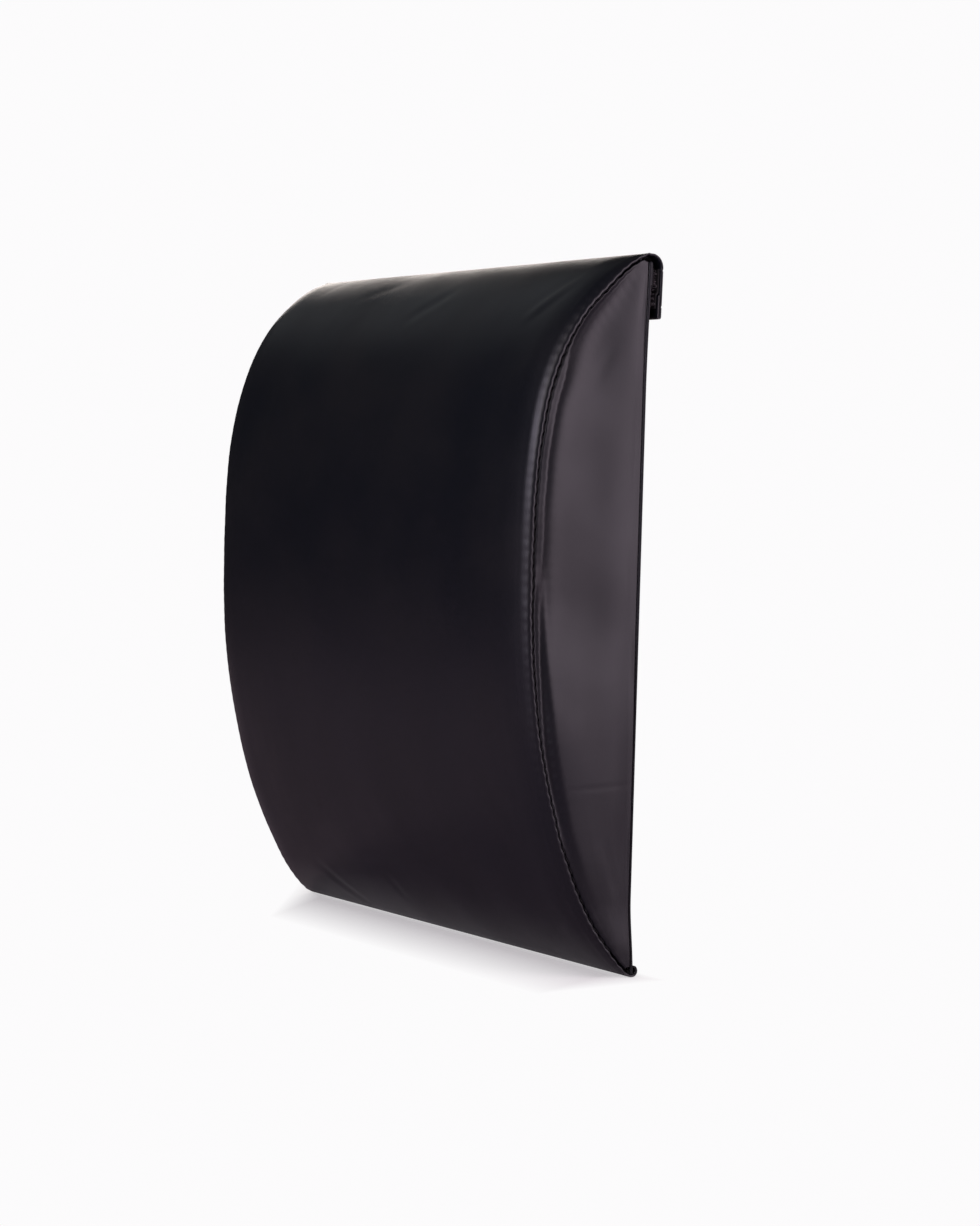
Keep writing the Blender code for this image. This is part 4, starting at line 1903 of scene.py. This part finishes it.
@dataclass(frozen=True)
class Sewing(Assembly):
    """Every row of sewing on the mat."""

    end_inset: float = 0.008
    seam_inset: float = 0.0006
    line_count: int = 1600

    def across(self, y: float, z: float, outward: Triple) -> tuple:
        """A straight row across the mat.

        Args:
            y: Its place along the mat.
            z: Its height.
            outward: The direction out of the leather.

        Returns:
            The line and its outward vectors.
        """
        reach = self.mat.half_width - self.end_inset
        x = np.linspace(-reach, reach, self.line_count)
        line = np.stack([x, np.full_like(x, y), np.full_like(x, z)], axis=1)
        return line, np.broadcast_to(np.array(outward, float), line.shape)

    def seam(self, side: Side, label: str, line: Array, pitch: float,
             run: Array | None = None) -> None:
        """Sew a long seam of one side, its thread just inside the side's face.

        Args:
            side: The side.
            label: The seam's word in the names of its stitches and its node.
            line: The seam's (y, z) points over the back plane.
            pitch: Length of a stitch with its gap.
            run: What the stitches are counted along; the line's own length if left out.
        """
        x = np.full(len(line), side.value * (self.mat.half_width - self.seam_inset))
        points = np.stack([x, line[:, 0], line[:, 1] + self.mat.back_z], axis=1)
        outward = np.broadcast_to(np.array([side.value, 0.0, 0.0]), points.shape)
        name = f"{side.label}_{label}"
        row = StitchRow(f"{name}_stitches", f"{name}_thread", Body.COVER, pitch,
                        self.mat.stock.thread / 2)
        row.build(self.mat.flared(points), outward, self.finishes.thread, run)


    def build(self) -> None:
        """Sew every row."""
        mat, arch, stock, tape = self.mat, self.mat.arch, self.mat.stock, self.mat.tape
        ends = (arch.foot_y + self.end_inset, arch.head_y - self.end_inset)
        y = eased(*ends, self.line_count)
        crown = arch.at_depth(y, stock.leather + stock.seam_gap / 2 + mat.seam_depth(y))
        base_z = stock.leather + stock.base_gap / 2
        base = straight((ends[0], base_z), (ends[1], base_z), self.line_count)
        for side in Side:
            self.seam(side, "crown", crown, stock.stitch_pitch, arch.run(y))
            self.seam(side, "base", base, stock.stitch_pitch / 2)
        radius, pitch = stock.thread / 2, stock.tape_stitch_pitch
        near, far = mat.tape_rows
        foot_low, foot_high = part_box("foot_thread")
        middle = (foot_low + foot_high) / 2
        line, outward = self.across(middle.y, middle.z, (0, 0, -1))
        StitchRow("foot_stitches", "foot_thread", Body.COVER, pitch, radius).build(
            line, outward, self.finishes.thread)
        drop = stock.clearance + tape.backing + radius / 2
        hem_z = mat.back_z - stock.leather - drop
        hook_z = mat.back_z - mat.flap_drop + radius / 2
        rows = (("loop_tape_head", near, hem_z, Body.COVER),
                ("loop_tape_foot", far, mat.back_z - drop, Body.COVER),
                ("hook_tape_fold", near, hook_z, Body.FLAP),
                ("hook_tape_edge", far, hook_z, Body.FLAP))
        for label, away, z, body in rows:
            line, outward = self.across(arch.head_y - away, z, (0, 0, -1))
            StitchRow(f"{label}_stitches", f"{label}_thread", body, pitch, radius).build(
                mat.flared(line), outward, self.finishes.thread)


@dataclass(frozen=True)
class TapeStrip(Assembly):
    """Backing strip of a tape: a thin woven ribbon that steps over a hem."""

    column_count: int = 60
    row_count: int = 60
    flat_count: int = 30
    step_count: int = 8
    point_count: int = 7

    def stepped(self, near_z: float, far_z: float, step_y: float) -> Array:
        """Line (y, z) of a tape's face that steps from one level to another at step_y."""
        head, end_y = self.mat.arch.head_y, step_y - self.mat.tape.step
        return np.concatenate([
            straight((head - self.mat.tape_start, near_z), (step_y, near_z), self.flat_count),
            straight((step_y, near_z), (end_y, far_z), self.step_count)[1:],
            straight((end_y, far_z), (head - self.mat.tape_end, far_z), self.flat_count)[1:]])

    def places(self, half: float, spacing: float) -> tuple[Array, Array, Array]:
        """Grid of places between the tape's selvedges.

        Args:
            half: How far it reaches to each side.
            spacing: Distance between neighbours.

        Returns:
            X and Y of each place, and 1 or -1 by turns.
        """
        mat, head, selvedge = self.mat, self.mat.arch.head_y, self.mat.tape.selvedge
        x = np.arange(-half, half, spacing)
        y = np.arange(head - mat.tape_end + selvedge, head - mat.tape_start - selvedge, spacing)
        row, column = np.indices((len(x), len(y))).reshape(2, -1)
        return x[row], y[column], 1 - 2 * ((row + column) % 2)

    def ribbon(self, name: str, line: Array, thickness: float) -> Object:
        """Closed ribbon under a line, carried across the mat.

        Args:
            name: The piece's name.
            line: (y, z) points of its face, in order.
            thickness: Its thickness, to the right of the heading.

        Returns:
            The piece, not yet riding on a body.
        """
        dense = Path.through(line, np.zeros(len(line)))
        path = dense.at(np.linspace(0, dense.run[-1], self.row_count))
        half = self.mat.half_width - self.mat.tape.end_inset
        x = np.linspace(-half, half, self.column_count)
        under = path.points - thickness * path.normals
        outline = np.concatenate([path.points, under[::-1]])
        rings = np.stack(np.broadcast_arrays(x[:, None], outline[:, 0],
                                             outline[:, 1] + self.mat.back_z), axis=-1)
        along = np.concatenate([path.run, path.run[::-1]])
        uv = np.stack([rings[..., 0], np.broadcast_to(along, rings.shape[:2])], axis=-1)
        return ring_solid(name, self.mat.flared(rings), [self.finishes.tape], uv=uv)


@dataclass(frozen=True)
class LoopTape(TapeStrip):
    """Loop tape under the base panel: its ribbon and the pile of small loops."""

    spacing: float = 0.0013
    loop_height: float = 0.0015
    loop_width: float = 0.0011
    loop_heights: Pair = (0.75, 1.0)
    loop_widths: Pair = (0.6, 1.1)
    jitter: float = 0.5
    belly: float = 0.5
    lean_share: float = 0.5
    yarn: float = 0.00017
    sides: int = 3
    end_spill: float = 0.0014
    spill_reach: float = 0.002

    def line(self) -> Array:
        """Face of the ribbon's backing, from the head end to the foot end."""
        plain, leather = -self.mat.stock.clearance, self.mat.stock.leather
        return self.stepped(plain - leather, plain,
                            self.mat.arch.head_y - self.mat.mouth_hem_end + plain)

    def pile(self) -> Object:
        """Pile of loops: each a leaning half ellipse of yarn on the ribbon's face.

        Returns:
            The piece, not yet riding on a body.
        """
        mat, tape = self.mat, self.mat.tape
        draw = np.random.default_rng(41)
        half = mat.half_width - tape.end_inset
        x, y, _ = self.places(half, self.spacing)
        count = len(x)
        x = x + draw.uniform(-self.jitter, self.jitter, count) * self.spacing
        y = y + draw.uniform(-self.jitter, self.jitter, count) * self.spacing
        line = self.line()
        foot = np.interp(y, line[::-1, 0], line[::-1, 1]) - tape.backing
        heading = draw.uniform(0, np.pi, count)
        lean = draw.uniform(-self.lean_share, self.lean_share, (2, count)) * self.loop_height
        spill = smooth_step(half - self.spill_reach, half, np.abs(x)) * np.sign(x)
        lean[0] += spill * self.end_spill
        lean[1] *= self.lean_share
        tall = self.loop_height * draw.uniform(*self.loop_heights, count)
        wide = self.loop_width * draw.uniform(*self.loop_widths, count) / 2
        turn = np.linspace(0, np.pi, self.point_count)
        up = np.sin(turn)
        sideways = wide[:, None] * np.cos(turn) * (1 + self.belly * up)
        centres = np.stack([
            x[:, None] + np.cos(heading)[:, None] * sideways + lean[0][:, None] * up,
            y[:, None] + np.sin(heading)[:, None] * sideways + lean[1][:, None] * up,
            foot[:, None] - tall[:, None] * up + mat.back_z], axis=-1)
        return tubes_along("loop_pile", mat.flared(centres), self.yarn / 2, self.sides,
                           [self.finishes.pile])

    def build(self) -> None:
        """Make the ribbon and its pile."""
        strip = self.ribbon("loop_tape_ribbon", self.line(), -self.mat.tape.backing)
        settle(strip, Body.COVER, Slot.TAPE, "loop_tape")
        settle(self.pile(), Body.COVER, Slot.TAPE)


@dataclass(frozen=True)
class HookTape(TapeStrip):
    """Hook tape inside the flap: its ribbon and rows of small bent hooks."""

    spacing: float = 0.0019
    hook_height: float = 0.0011
    hook_reach: float = 0.00055
    wire: float = 0.00020
    sides: int = 4
    jitter: float = 0.1
    heights: Pair = (0.85, 1.0)
    stem_end: float = 0.55
    bend_start: float = 0.45
    bend_turn: float = 0.85
    stem_rise: float = 0.72
    bend_rise: float = 0.28
    over_reach: float = 1.2

    def line(self) -> Array:
        """Face of the ribbon, from the fold's side to the flap's free edge.

        Returns:
            The line's (y, z) points.
        """
        mat, stock, tape = self.mat, self.mat.stock, self.mat.tape
        plain = -mat.flap_drop + stock.lining + tape.backing
        step_end = mat.arch.head_y - mat.flap_hem_end + stock.clearance
        return self.stepped(plain, plain + stock.leather, step_end + tape.step)

    def hooks(self) -> Object:
        """Rows of hooks: a stem that bends over at its tip, by turns to each side.

        Returns:
            The piece, not yet riding on a body.
        """
        mat = self.mat
        draw = np.random.default_rng(43)
        x, y, sign = self.places(mat.half_width - mat.tape.end_inset - self.spacing / 2,
                                 self.spacing)
        count = len(x)
        x = x + draw.uniform(-self.jitter, self.jitter, count) * self.spacing
        line = self.line()
        foot = np.interp(y, line[::-1, 0], line[::-1, 1])
        share = np.linspace(0, 1, self.point_count)
        stem = np.minimum(share / self.stem_end, 1)
        past = np.clip((share - self.bend_start) / (1 - self.bend_start), 0, 1)
        bend = past * np.pi * self.bend_turn
        reach = self.hook_reach * (1 - np.cos(bend)) / 2 * self.over_reach
        rise = self.hook_height * (self.stem_rise * stem + self.bend_rise * np.sin(bend))
        tall = draw.uniform(*self.heights, count)[:, None]
        centres = np.stack(np.broadcast_arrays(
            x[:, None] + sign[:, None] * reach, y[:, None],
            foot[:, None] + tall * rise + mat.back_z), axis=-1)
        return tubes_along("tape_hooks", mat.flared(centres), self.wire / 2, self.sides,
                           [self.finishes.hooks])

    def build(self) -> None:
        """Make the ribbon and its hooks."""
        strip = self.ribbon("hook_tape_ribbon", self.line(), -self.mat.tape.backing)
        settle(strip, Body.FLAP, Slot.TAPE, "hook_tape")
        settle(self.hooks(), Body.FLAP, Slot.TAPE)


def tubes_along(name: str, centres: Array, radius: float, sides: int,
                materials: list[Material]) -> Object:
    """Bundle of even tubes, each with its circles square to its own line.

    Args:
        name: The piece's name.
        centres: Centre lines as (tube, point, coordinate).
        radius: Radius of every tube.
        sides: Faces round a tube.
        materials: The piece's materials.

    Returns:
        The new object.
    """
    heading = unit(np.gradient(centres, axis=1))
    chord = centres[:, -1] - centres[:, 0] + NEVER_CLOSED
    mid = centres[:, centres.shape[1] // 2] - (centres[:, 0] + centres[:, -1]) / 2
    first = np.broadcast_to(unit(np.cross(chord, mid))[:, None], centres.shape)
    second = unit(np.cross(heading, first))
    sizes = np.full(centres.shape[:2], radius)
    return tube_bundle(name, centres, first, second, sizes, sides, materials)


# Studio

@dataclass(frozen=True)
class Camera:
    """The photograph's camera, placed as it saw the mat propped on its foot seam.

    Upright there means the mat's +Y, and the picture's front is the arched top.
    """

    right_of_middle: float = 1.238
    above_foot: float = 0.2462
    before_back: float = 0.840
    yaw: float = 55.37
    pitch: float = 2.567
    roll: float = 1.586
    focal_pixels: float = 2676.2
    picture_height: float = 1226
    sensor: float = 36.0

    def build(self, mat: Mat) -> None:
        """Make the camera and look through it.

        Args:
            mat: The mat's sizes.
        """
        yaw, pitch, roll = (math.radians(turn) for turn in (self.yaw, self.pitch, self.roll))
        forward = Vector((-math.sin(yaw) * math.cos(pitch), -math.sin(pitch),
                          -math.cos(yaw) * math.cos(pitch)))
        level = Vector((math.cos(yaw), 0, -math.sin(yaw)))
        upward = level.cross(forward)
        right = level * math.cos(roll) + upward * math.sin(roll)
        up = upward * math.cos(roll) - level * math.sin(roll)
        place = Vector((self.right_of_middle, mat.arch.foot_y + self.above_foot,
                        mat.back_z + self.before_back))
        data = bpy.data.cameras.new("camera")
        data.sensor_width = self.sensor
        data.lens = self.sensor * self.focal_pixels / self.picture_height
        camera = link("camera", data)
        turned = Matrix((right, up, -forward)).transposed().to_4x4()
        camera.matrix_world = Matrix.Translation(place) @ turned
        bpy.context.scene.camera = camera


@dataclass(frozen=True)
class Lamp:
    """A soft box: where it hangs, what it looks at, how large and bright its face is."""

    name: str
    place: Triple
    target: Triple
    size: Pair
    brightness: float
    colour: Triple = (1.0, 1.0, 1.0)
    power_of_brightness: float = 4.0

    def build(self) -> None:
        """Make the area lamp; the camera doesn't see it."""
        data = bpy.data.lights.new(self.name, 'AREA')
        data.shape = 'RECTANGLE'
        data.size, data.size_y = self.size
        data.energy = self.power_of_brightness * self.brightness * self.size[0] * self.size[1]
        data.color = self.colour
        lamp = link(self.name, data)
        lamp.location = self.place
        heading = Vector(self.target) - Vector(self.place)
        lamp.rotation_mode = 'QUATERNION'
        lamp.rotation_quaternion = heading.to_track_quat('-Z', 'Y')
        lamp.visible_camera = False


@dataclass(frozen=True)
class Studio:
    """White studio: the floor under the foot seam, the lamps and the white world."""

    white: Triple = (0.972, 0.965, 0.972)
    ambient: float = 0.03
    floor_gap: float = 0.0004
    floor_size: float = 6.0
    floor_glow: float = 0.36
    floor_colour: Triple = (0.82, 0.79, 0.78)
    bounce_colour: Triple = (0.54, 0.44, 0.51)
    mirror_share: float = 0.35
    fade_ahead: Pair = (0.012, 0.072)
    fade_behind: Pair = (-0.006, 0.012)
    fade_left: Pair = (0.150, 0.182)
    left_slant: float = 1.3
    fade_right: Pair = (0.148, 0.174)
    fade_steep: Pair = (0.45, 0.65)
    gloss_ahead: Pair = (0.006, 0.036)
    gloss_aside: Pair = (0.13, 0.18)
    lamps: tuple[Lamp, ...] = (
        Lamp("side box", (0.95, 0.27, -0.60), (0.15, 0.02, 0.03), (0.8, 0.7), 2.55,
             (1.0, 0.84, 0.97)),
        Lamp("front fill", (0.75, 0.75, 1.25), (0.0, 0.0, 0.05), (0.9, 0.9), 1.45,
             (1.0, 0.91, 0.95)),
        Lamp("front box", (0.35, 0.45, 1.45), (0.0, 0.0, 0.05), (0.9, 0.7), 3.2,
             (0.90, 0.82, 1.0)),
        Lamp("head glow", (-1.0, 0.95, 0.05), (0.0, 0.10, 0.05), (0.8, 0.6), 0.17,
             (0.92, 0.97, 1.0)),
        Lamp("left back box", (-1.1, 0.35, -0.65), (0.0, 0.17, 0.05), (0.6, 0.7), 4.2,
             (1.0, 0.91, 0.85)),
    )

    def build_world(self) -> None:
        """White where the camera looks past the mat, and dim for what lights the mat."""
        world = bpy.data.worlds.new("studio")
        world.use_nodes = True
        bpy.context.scene.world = world
        nodes = Nodes(world.node_tree)
        world.node_tree.nodes.clear()
        seen = nodes.add("ShaderNodeLightPath").outputs["Is Camera Ray"]
        dim = nodes.add("ShaderNodeBackground",
                        {"Color": (1, 1, 1, 1), "Strength": self.ambient})
        bright = nodes.add("ShaderNodeBackground", {"Color": (*self.white, 1), "Strength": 1.0})
        nodes.add("ShaderNodeOutputWorld",
                  {"Surface": nodes.mix(seen, dim, bright).outputs[0]})

    def build_floor(self, mat: Mat) -> None:
        """Pale floor square to the mat's length, with the mat's shadow by its foot.

        Seen from below it isn't there, and seen steeply from above it is plain white.

        Args:
            mat: The mat's sizes.
        """
        half = self.floor_size / 2
        y = mat.arch.foot_y - self.floor_gap
        corners = [(-half, y, -half), (-half, y, half), (half, y, half), (half, y, -half)]
        mesh = bpy.data.meshes.new("floor")
        mesh.from_pydata(corners, [], [(0, 1, 2, 3)])
        floor = link("floor", mesh)
        material = bpy.data.materials.new("pale floor")
        material.use_nodes = True
        mesh.materials.append(material)
        tree = material.node_tree
        tree.nodes.clear()
        nodes = Nodes(tree)
        place = nodes.add("ShaderNodeTexCoord").outputs["Object"]
        x, _, z = nodes.add("ShaderNodeSeparateXYZ", {0: place}).outputs
        before = nodes.math('SUBTRACT', z, mat.back_z)
        behind = nodes.math('MULTIPLY', before, -1.0)
        leftward = nodes.math('SUBTRACT', nodes.math('MULTIPLY', before, self.left_slant), x)
        ends = nodes.math('MAXIMUM', nodes.spread(leftward, *self.fade_left),
                          nodes.spread(x, *self.fade_right))
        rows = nodes.math('MAXIMUM', nodes.spread(before, *self.fade_ahead),
                          nodes.spread(behind, *self.fade_behind))
        shallow = nodes.add("ShaderNodeLayerWeight").outputs["Facing"]
        steep = nodes.spread(shallow, *self.fade_steep, 1.0, 0.0)
        far = nodes.math('MAXIMUM', nodes.math('MAXIMUM', rows, ends), steep)
        matt = nodes.add("ShaderNodeBsdfDiffuse", {"Color": (*self.floor_colour, 1)})
        glow = nodes.add("ShaderNodeEmission",
                         {"Color": (*self.white, 1), "Strength": self.floor_glow})
        near = nodes.add("ShaderNodeAddShader", {0: matt.outputs[0], 1: glow.outputs[0]})
        white = nodes.add("ShaderNodeEmission", {"Color": (*self.white, 1), "Strength": 1.0})
        bounce = nodes.add("ShaderNodeBsdfDiffuse", {"Color": (*self.bounce_colour, 1)})
        path = nodes.add("ShaderNodeLightPath").outputs
        by_foot = nodes.spread(nodes.math('ABSOLUTE', before), *self.gloss_ahead,
                               self.mirror_share, 0.0)
        inside = nodes.spread(nodes.math('ABSOLUTE', x), *self.gloss_aside, 1.0, 0.0)
        mirrored = nodes.math('MULTIPLY', path["Is Glossy Ray"],
                              nodes.math('MULTIPLY', by_foot, inside))
        shown = nodes.mix(path["Is Camera Ray"], nodes.mix(mirrored, bounce, near),
                          nodes.mix(far, near, white))
        below = nodes.add("ShaderNodeNewGeometry").outputs["Backfacing"]
        both = nodes.mix(below, shown, nodes.add("ShaderNodeBsdfTransparent"))
        nodes.add("ShaderNodeOutputMaterial", {"Surface": both.outputs[0]})

    def build(self, mat: Mat) -> None:
        """Make the world, the floor and the lamps.

        Args:
            mat: The mat's sizes.
        """
        bpy.context.scene.view_settings.view_transform = 'Standard'
        self.build_world()
        self.build_floor(mat)
        for lamp in self.lamps:
            lamp.build()


def write_sizes() -> None:
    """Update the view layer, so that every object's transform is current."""
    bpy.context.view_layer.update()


def main() -> None:
    """Build every piece in order, then the studio."""
    logging.basicConfig(level=logging.INFO, format="%(name)s: %(message)s")
    mat = Mat.from_frame()
    finishes = Finishes.build()
    CoverPanel(mat, finishes).build()
    for side in Side:
        Gusset(mat, finishes, side).build()
    BasePanel(mat, finishes).build()
    FoamCore(mat, finishes).build()
    LoopTape(mat, finishes).build()
    HookTape(mat, finishes).build()
    Sewing(mat, finishes).build()
    Camera().build(mat)
    Studio().build(mat)
    write_sizes()


if __name__ == "__main__":
    main()
